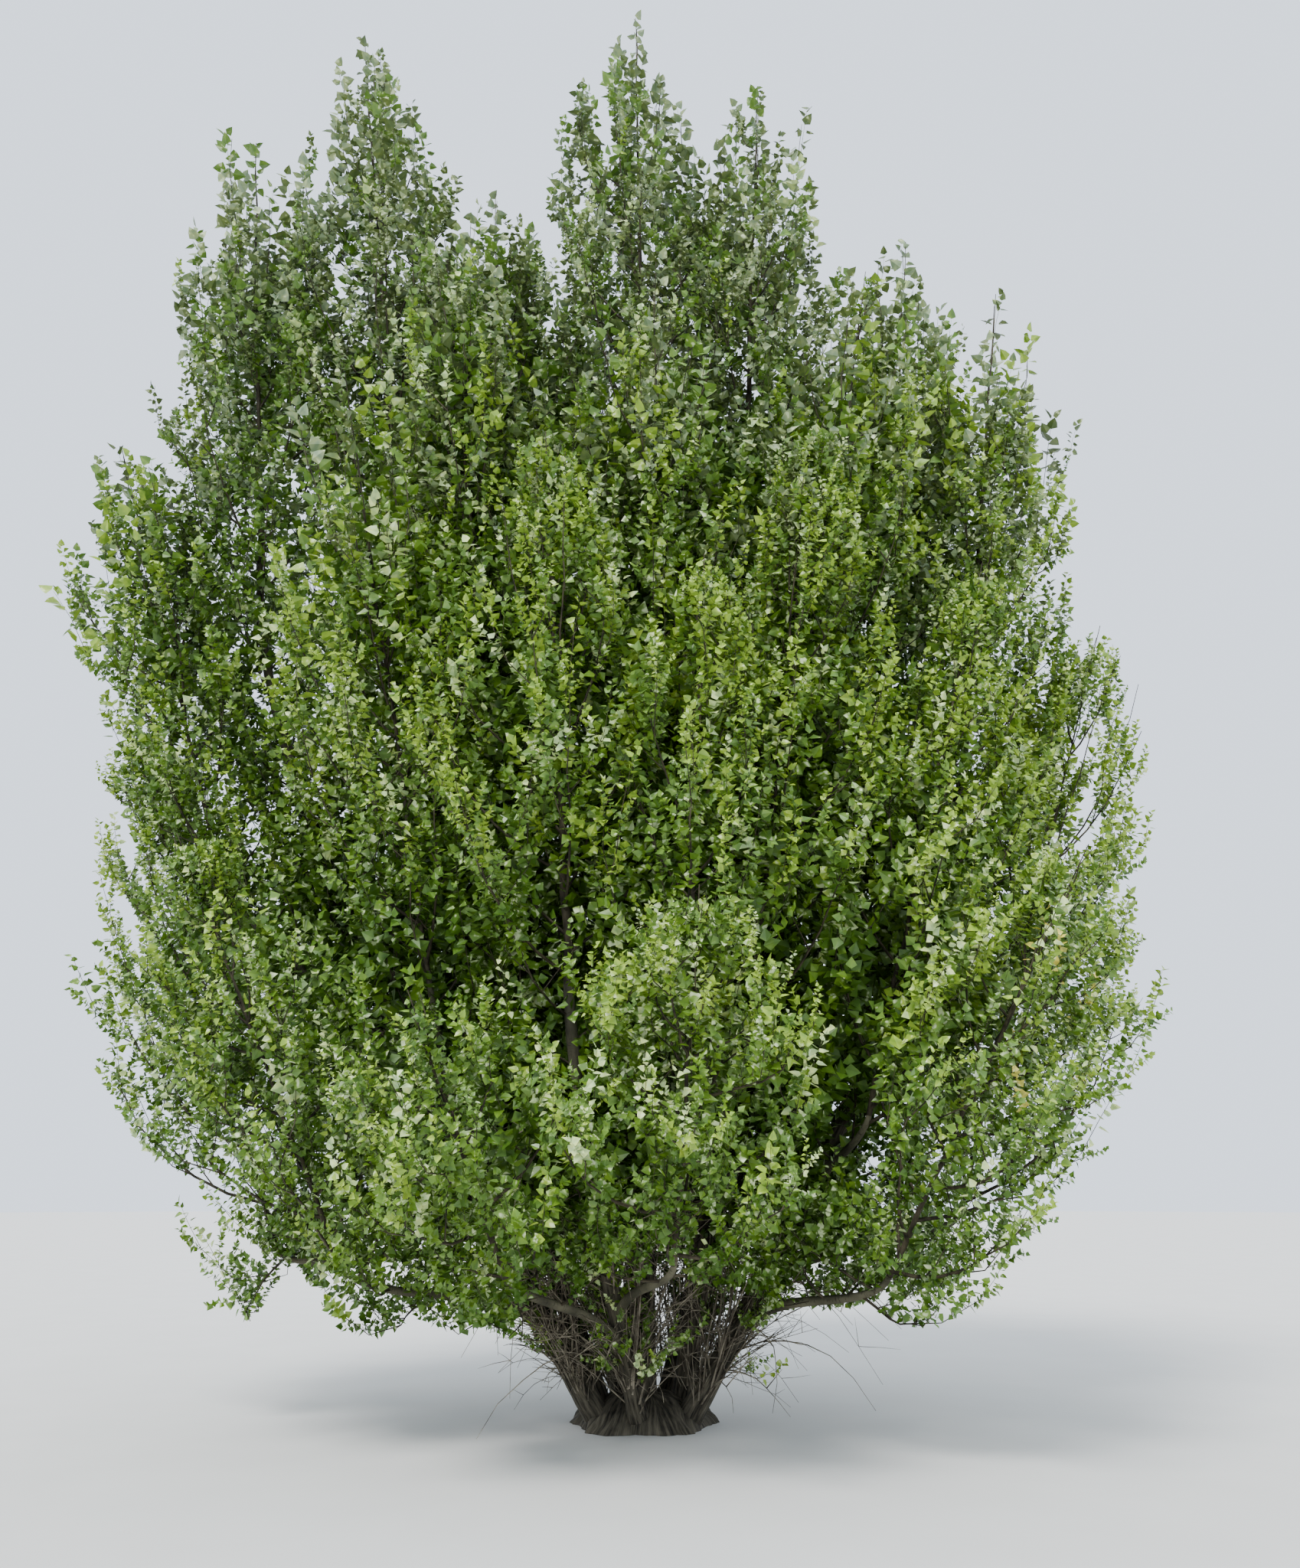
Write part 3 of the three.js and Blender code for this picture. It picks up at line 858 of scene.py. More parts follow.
@dataclass
class Wood:
    """The stool, the stems and the boughs."""

    masses: dict[str, Mass]
    stems: dict[str, StemPath] = field(default_factory=dict)
    boughs: dict[str, BoughPath] = field(default_factory=dict)
    stem_sides: int = 28
    stem_ring: float = 0.070
    stem_furrow: float = 0.0075
    stem_shift: float = 11.3
    stem_crowding: float = 1.4
    bough_sides: int = 16
    bough_ring: float = 0.040
    bough_furrow: float = 0.0040
    bough_shift: float = 4.7
    first_bough_shift: float = 100
    fewest_rings: int = 8

    def __post_init__(self) -> None:
        """Lays out every stem and bough."""
        for name, plan in STEMS.items():
            self.stems[name] = StemPath(plan, self.masses[name])
        for name, mass in self.masses.items():
            if mass.plan.fork:
                self.boughs[name] = BoughPath(self.stems[mass.plan.stem], mass)

    def build(self, bark: bpy.types.Material) -> None:
        """Makes the limbs and dresses them in bark.

        Args:
            bark: The bark's material.
        """
        dress(Stool().build(), bark, ["stool"])
        for index, (name, path) in enumerate(self.stems.items()):
            limb = BarkLimb(
                name=f"stem_{name}_bark",
                path=path,
                first=path.share_at(-STUMP_FOOT),
                sides=self.stem_sides,
                rings=round(path.head[2] / self.stem_ring),
                furrow=self.stem_furrow,
                shift=self.stem_shift * index,
                crowding=self.stem_crowding,
            )
            dress(limb.build(), bark, [f"stem_{name}"])
        for index, (name, path) in enumerate(self.boughs.items()):
            limb = BarkLimb(
                name=f"bough_{name}_bark",
                path=path,
                first=0.0,
                sides=self.bough_sides,
                rings=max(round(path.length / self.bough_ring), self.fewest_rings),
                furrow=self.bough_furrow,
                shift=self.first_bough_shift + self.bough_shift * index,
            )
            dress(limb.build(), bark, [f"bough_{name}"])


@dataclass
class ArrayMesh:
    """Triangles that are gathered as arrays and joined into one piece."""

    name: str
    points: list[np.ndarray] = field(default_factory=list)
    corners: list[np.ndarray] = field(default_factory=list)
    count: int = 0

    def add(self, points: np.ndarray, corners: np.ndarray) -> None:
        """Adds points, and triangles that number them from 0."""
        self.points.append(points.reshape(-1, 3))
        self.corners.append(corners.reshape(-1, 3) + self.count)
        self.count += len(self.points[-1])

    def build(self, smooth: bool) -> bpy.types.Object:
        """The joined piece.

        Args:
            smooth: Whether its shading is smooth.

        Returns:
            The object, in the scene.
        """
        points = np.concatenate(self.points).astype(np.float32)
        corners = np.concatenate(self.corners).astype(np.int32)
        mesh = bpy.data.meshes.new(self.name)
        mesh.vertices.add(len(points))
        mesh.vertices.foreach_set("co", points.ravel())
        mesh.loops.add(corners.size)
        mesh.loops.foreach_set("vertex_index", corners.ravel())
        mesh.polygons.add(len(corners))
        mesh.polygons.foreach_set("loop_start", np.arange(0, corners.size, 3, dtype=np.int32))
        mesh.update(calc_edges=True)
        mesh.polygons.foreach_set("use_smooth", np.full(len(corners), smooth))
        return object_from(self.name, mesh)


def tubes(
    lines: np.ndarray, radii: np.ndarray, level: np.ndarray, sides: int
) -> tuple[np.ndarray, np.ndarray]:
    """Tapering tubes along many lines at once.

    Args:
        lines: Points, as lines by steps by 3.
        radii: A radius for each point.
        level: A vector for each line that is roughly square to it.
        sides: How many sides a tube has.

    Returns:
        The points, and the triangles' corners.
    """
    count, steps, _ = lines.shape
    along = unit(np.gradient(lines, axis=1))
    across = unit(np.cross(along, level[:, None, :]))
    up = np.cross(across, along)
    angle = (np.arange(sides) * math.tau / sides)[:, None]
    wheel = across[:, :, None, :] * np.cos(angle) + up[:, :, None, :] * np.sin(angle)
    points = lines[:, :, None, :] + wheel * radii[:, :, None, None]
    ring, turn = np.meshgrid(np.arange(steps - 1), np.arange(sides), indexing="ij")
    a = ring * sides + turn
    b = ring * sides + (turn + 1) % sides
    halves = [np.stack([a, b, b + sides], -1), np.stack([a, b + sides, a + sides], -1)]
    corners = np.stack(halves, -2).reshape(-1, 3)
    return points, corners[None] + (np.arange(count) * steps * sides)[:, None, None]


def cones(lines: np.ndarray, radius: float, level: np.ndarray) -> tuple[np.ndarray, np.ndarray]:
    """Thin three-sided cones from foot to tip.

    Args:
        lines: The foot and tip of each, as lines by 2 by 3.
        radius: The radius of their feet.
        level: A vector for each line that is roughly square to it.

    Returns:
        The points, and the triangles' corners.
    """
    across = unit(level)
    up = unit(np.cross(lines[:, 1] - lines[:, 0], across))
    angle = (np.arange(3) * math.tau / 3)[:, None]
    wheel = across[:, None] * np.cos(angle) + up[:, None] * np.sin(angle)
    points = np.concatenate([lines[:, :1] + wheel * radius, lines[:, 1:]], 1)
    corners = np.array(((0, 1, 3), (1, 2, 3), (2, 0, 3)))
    return points, corners[None] + (np.arange(len(lines)) * 4)[:, None, None]


@dataclass(frozen=True)
class Habit:
    """How leaves stand on a shoot: angles in degrees from its stem, and how much chance moves them."""

    bow: float = 0.12
    lowest: float = 0.08
    crowding: float = 0.92
    turn: float = 0.4
    leans: tuple[float, float] = (68, 22)
    lean_power: float = 1.6
    lean_stray: float = 14
    stalks: tuple[float, float] = (0.7, 1.2)
    last_stalk: float = 0.55
    stalk_half: float = 0.0012
    droops: tuple[float, float] = (0, 62)
    last_droop: float = 0.45
    stray: float = 0.16
    roll: float = 0.55
    sizes: tuple[float, float] = (0.70, 1.18)
    taper: tuple[float, float] = (1.05, 0.80)


HABIT = Habit()


class SprayKind(Choice):
    """How a leafy shoot is made: how many leaves, and the lengths of its stem, stalks and blades."""

    LEADER = (13, 0.60, 0.052, 0.116)
    PLUME = (16, 0.44, 0.034, 0.070)
    OUTER = (18, 0.32, 0.000, 0.062)
    INNER = (10, 0.38, 0.000, 0.108)
    MIDDLE = (14, 0.34, 0.000, 0.082)

    @property
    def leaves(self) -> int:
        """How many leaves the shoot has."""
        return self.value[0]

    @property
    def length(self) -> float:
        """The length of the shoot's stem."""
        return self.value[1]

    def blade(self) -> tuple[np.ndarray, np.ndarray]:
        """A leaf blade of length 1 along +X, folded on its midrib: a rounded triangle or a kite.

        Returns:
            Its points, and its triangles' corners.
        """
        if self in (SprayKind.LEADER, SprayKind.PLUME):
            right = ((0.20, 0.44, 0.08), (0.60, 0.30, 0.02))
            rows = ((0.0, 0.0, 0.0), *right, (1.0, 0.0, -0.12), *((x, -y, z) for x, y, z in right[::-1]))
            return np.array(rows), np.array(((0, 2, 1), (0, 3, 2), (0, 4, 3), (0, 5, 4)))
        rows = ((0.0, 0.0, 0.0), (0.31, 0.47, 0.08), (1.0, 0.0, -0.08), (0.31, -0.47, 0.08))
        return np.array(rows), np.array(((0, 2, 1), (0, 3, 2)))

    def grow(self, random: np.random.Generator) -> tuple[np.ndarray, np.ndarray, np.ndarray]:
        """One shoot along +Z, with leaves all round it on their stalks.

        Args:
            random: Where its chances come from.

        Returns:
            The leaves' points, their triangles' corners, and the line of the shoot's stem.
        """
        n, length, stalk, size = self.value
        bow = random.uniform(-HABIT.bow, HABIT.bow, 2)
        place = mix(HABIT.lowest, 1.0, (np.arange(n) / (n - 1)) ** HABIT.crowding)
        root = np.stack([bow[0] * place**2, bow[1] * place**2, place], -1) * length
        turn = random.uniform(0, math.tau) + GOLDEN_ANGLE * np.arange(n)
        turn = turn + random.uniform(-HABIT.turn, HABIT.turn, n)
        lean = mix(*HABIT.leans, place**HABIT.lean_power)
        lean = np.radians(lean + random.uniform(-HABIT.lean_stray, HABIT.lean_stray, n))
        out = np.stack([np.cos(turn), np.sin(turn), np.zeros(n)], -1)
        stalk_way = out * np.sin(lean)[:, None] + UP * np.cos(lean)[:, None]
        stalks = stalk * random.uniform(*HABIT.stalks, n) * mix(1.0, HABIT.last_stalk, place)
        base = root + stalk_way * stalks[:, None]
        droop = lean + np.radians(random.uniform(*HABIT.droops, n) * mix(1.0, HABIT.last_droop, place))
        way = out * np.sin(droop)[:, None] + UP * np.cos(droop)[:, None]
        way = unit(way + random.normal(0, HABIT.stray, (n, 3)))
        face = unit(np.cross(np.cross(way, UP + random.normal(0, HABIT.roll, (n, 3))), way))
        across = np.cross(face, way)
        sizes = size * random.uniform(*HABIT.sizes, n) * mix(*HABIT.taper, place**3)
        shape, triangles = self.blade()
        points = base[:, None] + sizes[:, None, None] * (
            shape[:, 0:1] * way[:, None] + shape[:, 1:2] * across[:, None] + shape[:, 2:3] * face[:, None]
        )
        leaf, corners = points, triangles
        if stalk:
            thin = across * HABIT.stalk_half
            leaf = np.concatenate([points, np.stack([root - thin, root + thin, base], 1)], 1)
            corners = np.concatenate([triangles, [np.arange(3) + len(shape)]])
        every = corners[None] + (np.arange(n) * leaf.shape[1])[:, None, None]
        return leaf.reshape(-1, 3), every.reshape(-1, 3), np.stack([root[0] * 0.0, root[n // 2], root[-1]])


@dataclass
class Twigs:
    """A set of twigs: their lines, the radii of their butts, and which way is up the mass for each."""

    lines: np.ndarray
    butts: np.ndarray
    up: np.ndarray

    def kept(self, keep: np.ndarray) -> "Twigs":
        """Those that a mask picks."""
        return Twigs(self.lines[keep], self.butts[keep], self.up[keep])

    @classmethod
    def bent(
        cls,
        marks: tuple[np.ndarray, np.ndarray, np.ndarray],
        butts: np.ndarray,
        up: np.ndarray,
        steps: int,
        random: np.random.Generator,
    ) -> "Twigs":
        """Curved twigs, a little unsteady.

        Args:
            marks: Their feet, the places that draw their bends, and their tips.
            butts: The radii of their butts.
            up: Which way is up the mass for each.
            steps: How many points each has.
            random: Where their chances come from.

        Returns:
            The twigs.
        """
        foot, bend, tip = (mark[:, None] for mark in marks)
        run = np.linspace(0, 1, steps)[None, :, None]
        rest = 1 - run
        wander = random.normal(0, TWIG_WANDER, (len(foot), steps, 3)) * run
        return cls(foot * rest**2 + bend * 2 * run * rest + tip * run**2 + wander, butts, up)

    def tapered(self, level: np.ndarray) -> tuple[np.ndarray, np.ndarray]:
        """Their tubes, from vectors that are roughly square to them."""
        taper = mix(1.0, TWIG_TAPER, np.linspace(0, 1, self.lines.shape[1]))
        return tubes(self.lines, self.butts[:, None] * taper, level, TWIG_SIDES)

    def at(self, along: np.ndarray) -> tuple[np.ndarray, np.ndarray]:
        """Points and directions at shares of every twig, as twigs by shares by 3.

        Args:
            along: The shares, as twigs by shares.

        Returns:
            The points, and unit vectors along the twigs.
        """
        last = self.lines.shape[1] - 1
        step = np.clip(along * last, 0, last - SMALL_STEP)
        whole = step.astype(int)
        part = (step - whole)[..., None]
        rows = np.arange(len(self.lines))[:, None]
        low, high = self.lines[rows, whole], self.lines[rows, whole + 1]
        return low * (1 - part) + high * part, unit(high - low)


@dataclass
class Shoots:
    """Where every leafy shoot stands, its heading and size, its kind, and how much light it gets."""

    foot: np.ndarray
    heading: np.ndarray
    size: np.ndarray
    kind: np.ndarray
    light: np.ndarray

    @staticmethod
    def rowed(foot: np.ndarray, heading: np.ndarray, *numbers: np.ndarray) -> "Shoots":
        """A set from arrays of twigs by shoots."""
        return Shoots(foot.reshape(-1, 3), heading.reshape(-1, 3), *(part.ravel() for part in numbers))

    @staticmethod
    def joined(sets: Sequence["Shoots"]) -> "Shoots":
        """Several sets as one."""
        names = ("foot", "heading", "size", "kind", "light")
        return Shoots(*(np.concatenate([getattr(one, name) for one in sets]) for name in names))

    def kept(self, keep: np.ndarray) -> "Shoots":
        """Those that a mask or a list of numbers picks."""
        return Shoots(*(part[keep] for part in (self.foot, self.heading, self.size, self.kind, self.light)))

    def tip(self) -> np.ndarray:
        """The tip of each shoot."""
        length = np.array([kind.length for kind in SprayKind])[self.kind]
        return self.foot + self.heading * (self.size * length)[:, None]


class OpenAir:
    """How deep in the crown a place is, by cells that are peeled away layer by layer from the open air."""

    CELL = 0.25
    MARGIN = 4
    CLOSING = 2
    LAYERS = 9

    def __init__(self, points: np.ndarray) -> None:
        """Fills the cells that hold a shoot, closes their small gaps, and peels them.

        Args:
            points: Where the shoots stand, as points by 3.
        """
        self.low = points.min(0) - self.MARGIN * self.CELL
        shape = np.ceil((points.max(0) - self.low) / self.CELL).astype(int) + self.MARGIN + 1
        full = np.zeros(shape, bool)
        full[self.cells(points)] = True
        for _ in range(self.CLOSING):
            full = self.grown(full)
        self.layer = np.zeros(shape)
        for step in range(self.CLOSING + self.LAYERS):
            full = ~self.grown(~full)
            self.layer += full & (step >= self.CLOSING)

    def cells(self, points: np.ndarray) -> tuple[np.ndarray, ...]:
        """The cells that points are in."""
        return tuple(((points - self.low) / self.CELL).astype(int).T)

    @staticmethod
    def grown(mask: np.ndarray) -> np.ndarray:
        """A mask with every cell that touches it."""
        for axis in range(3):
            mask = mask | np.roll(mask, 1, axis) | np.roll(mask, -1, axis)
        return mask

    def depth(self, points: np.ndarray) -> np.ndarray:
        """How far points are from the open air, in metres."""
        return self.layer[self.cells(points)] * self.CELL


@dataclass(frozen=True)
class Outline:
    """How far leaves may reach round their mass: shares of its width and length, or metres.

    A part is where a change begins and how far it runs, here and below.
    """

    width: float = 1.12
    low_width: float = 0.09
    low_part: tuple[float, float] = (6.5, -3.0)
    low_ease: float = 0.4
    tip_taper: float = 0.50
    tip_part: tuple[float, float] = (0.68, 0.32)
    below_foot: float = 0.09
    below_tip: float = 0.18
    spare: float = 0.04
    overlap: float = 0.34

    def holds(self, mass: Mass, points: np.ndarray) -> np.ndarray:
        """Which points are inside a mass's outline.

        Args:
            mass: The mass.
            points: Places, as points by 3.

        Returns:
            A mask.
        """
        share, away = mass.place(points)
        low = rising(points[..., 2], *self.low_part)
        taper = self.tip_taper * (1 - self.low_ease * low) * rising(share, *self.tip_part)
        spread = self.width + self.low_width * low - taper
        fits = (share > -self.below_foot) & (share < 1 - self.below_tip / mass.plan.length)
        return fits & (away < mass.room(share) * spread + self.spare)


@dataclass(frozen=True)
class Skirt:
    """The wavy lower edge of the leaves, which is higher where the stems show."""

    lowest: float = 0.62
    gap: tuple[float, float, float] = (-0.70, 0.36, -2.6)
    gap_height: float = 0.98
    round_stems: float = 1.0
    round_height: float = 0.95
    waves: tuple[float, float] = (0.16, 0.10)
    rates: tuple[float, float, float] = (7.0, 17.0, 5.0)
    ground_share: float = 0.4

    def clears(self, points: np.ndarray) -> np.ndarray:
        """Which points are above the edge.

        Args:
            points: Places, as points by 3.

        Returns:
            A mask.
        """
        x, y, z = np.moveaxis(points, -1, 0)
        (slow, fast), (rate, rate_x, rate_y) = self.waves, self.rates
        wave = slow * np.sin(x * rate) + fast * np.sin(x * rate_x + y * rate_y)
        left, right, front = self.gap
        near_stems = (x > left) & (x < right) & (y > front) & (z < self.gap_height + wave)
        near_stems |= (np.hypot(x, y) < self.round_stems) & (z < self.round_height + wave)
        return (z > self.lowest + self.ground_share * wave) & ~near_stems


@dataclass(frozen=True)
class AxisGrowth:
    """How the twigs of a mass leave its axis: shares of its length and room, or metres."""

    spacing: float = 0.170
    part: float = 0.86
    first: float = 0.3
    stray: float = 0.25
    rises: tuple[float, float] = (0.19, 0.31)
    most_rise: float = 1.7
    rises_left: tuple[float, float] = (0.68, 0.97)
    reaches: tuple[float, float] = (0.62, 1.0)
    tries: int = 7
    shorter: float = 0.84
    bend: tuple[float, float] = (0.80, 0.30)
    butts: tuple[float, float] = (0.016, 0.009)


@dataclass(frozen=True)
class LimbGrowth:
    """How the twigs leave a limb below its mass; those on limbs that fork low are shorter and droop."""

    spacing: float = 0.22
    lowest_on_stem: float = 0.85
    bare_bough: float = 0.10
    low_fork: float = 1.35
    low_spacing: float = 0.7
    upward: tuple[float, float] = (0.55, 0.8)
    level: tuple[float, float, float] = (0.12, 1.0, 0.0)
    stray: float = 0.4
    reaches: tuple[float, float] = (0.40, 0.62)
    reach_chance: tuple[float, float] = (0.75, 1.15)
    rises: tuple[float, float] = (0.45, 0.95)
    rise_chance: tuple[float, float] = (0.8, 1.25)
    low_rises: tuple[float, float] = (-0.55, 0.9)
    low_reaches: tuple[float, float] = (0.45, 0.9)
    bend: tuple[float, float] = (0.75, 0.25)
    butt: float = 0.012


@dataclass(frozen=True)
class SideGrowth:
    """How side twigs turn out of a twig, along it and aside, and then rise beside it."""

    per_twig: int = 4
    first: float = 0.7
    beyond: float = 0.4
    crowding: float = 0.8
    stray: float = 0.07
    turn: float = math.radians(125)
    lengths: tuple[float, float] = (0.42, 0.85)
    shorter_up: float = 0.30
    outward: tuple[float, float] = (0.55, 0.80)
    upward: tuple[float, float] = (0.92, 0.22)
    parts: tuple[float, float] = (0.45, 0.62)
    tries: int = 4
    shorter: float = 0.78
    butt: float = 0.45
    steps: int = 3


@dataclass(frozen=True)
class ShootRow:
    """How leafy shoots head along, up and aside of their twig, and which of them count as its tip."""

    crowding: float = 0.65
    stray: float = 0.03
    heading: tuple[float, float, float] = (0.35, 0.62, 0.62)
    last_aside: float = 0.10
    sizes: tuple[float, float] = (0.74, 1.14)
    tip_from: float = 0.97


@dataclass(frozen=True)
class LeaderGrowth:
    """The leaders at a mass's tip: their shoots, how many, and how bare the twigs beside them are."""

    kind: SprayKind
    count: int
    rows: int
    light: float
    bare: float
    stray: float = 0.4
    asides: tuple[float, float] = (0.16, 0.50)
    tops: tuple[float, float] = (0.72, 0.96)
    feet: tuple[float, float] = (0.46, 0.60)
    bend: tuple[float, float] = (0.9, 0.25)
    butt: float = 0.011
    steps: int = 9
    sizes: tuple[float, float] = (0.90, 1.05)
    pitch: float = 0.86
    lean_in: float = 0.10
    sway: float = 0.07
    dimmer: float = 0.12


@dataclass(frozen=True)
class SprigGrowth:
    """The short leafy sprigs on the stems' lower ends: heights and lengths in metres."""

    count: int = 96
    heights: tuple[float, float] = (0.24, 1.15)
    crowding: float = 0.8
    stray: float = 1.1
    reaches: tuple[float, float] = (0.14, 0.38)
    rises: tuple[float, float] = (-0.06, 0.42)
    bend: tuple[float, float, float] = (0.7, 0.3, 0.06)
    upward: tuple[float, float] = (0.35, 0.8)
    butt: float = 0.0070
    row: tuple[int, float] = (5, 0.34)
    size: float = 0.72
    light: tuple[float, float] = (0.55, 0.35)
    lowest_tip: float = 0.16


@dataclass(frozen=True)
class Spine:
    """The tapering twig along the axis of a mass."""

    steps: int = 14
    sides: int = 7
    short: float = 0.05
    wander: float = 0.008
    tip: float = 0.003


@dataclass(frozen=True)
class Daylight:
    """How much light a shoot is taken to get, by where it stands; the greens that it is dealt by this paint
    its light and shade.
    """

    at_tip: float = 0.7
    outward: float = 0.25
    upward: float = 0.25
    on_limb: float = 0.1
    least_room: float = 0.05
    lost_inside: float = 0.45
    patch_rate: float = 0.55
    patches: float = 0.30
    to_right: float = 0.025
    chance: float = 0.16
    high: tuple[float, float] = (6, 0.03)
    low: tuple[float, float, float] = (3.4, 0.10, 2)

    def falls_on(self, shoots: Shoots, random: np.random.Generator) -> np.ndarray:
        """The light of every shoot, with slow patches, more to the right, less high up and low down, and
        some chance.

        Args:
            shoots: The shoots.
            random: Where its chances come from.

        Returns:
            A number for each, higher where it is lighter.
        """
        x, _, z = shoots.foot.T
        patch = np.array([noise.noise(Vector(p * self.patch_rate)) for p in shoots.foot])
        light = shoots.light + self.patches * patch + self.to_right * x
        light = light + random.normal(0, self.chance, len(z))
        (high, lost_high), (low, lost_low, most) = self.high, self.low
        return light - (lost_high * np.clip(z - high, 0, None) + lost_low * np.clip(low - z, 0, most))


@dataclass(frozen=True)
class TintDeal:
    """How the greens are dealt: by rank in the light, by height, and by chance."""

    deep_to: float = 0.36
    cool_from: float = 0.62
    bright_from: float = 0.86
    high_part: tuple[float, float] = (5.4, 3.8)
    high_from: float = 0.28
    high_cool: float = 0.98
    high_grey: float = 0.74
    high_olive: float = 0.42
    pale_from: float = 0.45
    pale_tips: float = 0.17
    pale_shoots: float = 0.05
    corner: tuple[float, float, float] = (2.3, 0.3, 3.0)
    yellow_from: float = 0.3
    yellow: float = 0.06


@dataclass(frozen=True)
class Core:
    """How shoots change from the open air inwards, and how many are left out inside and at the top."""

    shell: float = 0.5
    growth: float = 0.42
    growth_run: float = 0.75
    low_size: float = 0.88
    low_run: float = 6
    low_short: float = 0.2
    keep: tuple[float, float] = (1.32, 0.64)
    least_kept: float = 0.34
    open_top: float = 0.48
    top_part: tuple[float, float] = (7.5, 4.0)


@dataclass
class Sprays:
    """Every shoot as one of the patterns of its kind, turned and sized."""

    shoots: Shoots
    patterns: list[list[tuple[np.ndarray, np.ndarray, np.ndarray]]]
    which: np.ndarray
    turned: np.ndarray

    def stems(self) -> np.ndarray:
        """The lines of the shoots' stems."""
        lines = [self.patterns[kind][number][2] for kind, number in zip(self.shoots.kind, self.which)]
        return np.einsum("nki,nij->nkj", np.stack(lines), self.turned) + self.shoots.foot[:, None]

    def batches(self, some: np.ndarray, limit: int) -> list[list[tuple[np.ndarray, np.ndarray]]]:
        """The leaves of some shoots, pattern by pattern, in batches.

        Args:
            some: A mask of the shoots.
            limit: How many triangles a batch may have.

        Returns:
            For each batch, pairs of points and the triangles' corners.
        """
        batches, load = [[]], 0
        for kind, patterns in enumerate(self.patterns):
            for number, (points, corners, _) in enumerate(patterns):
                here = np.flatnonzero(some & (self.shoots.kind == kind) & (self.which == number))
                more = len(here) * len(corners)
                if not more:
                    continue
                if load + more > limit and batches[-1]:
                    batches.append([])
                    load = 0
                placed = np.einsum("ki,nij->nkj", points, self.turned[here])
                placed = placed + self.shoots.foot[here][:, None]
                faces = corners[None] + (np.arange(len(here)) * len(points))[:, None, None]
                batches[-1].append((placed, faces))
                load += more
        return batches


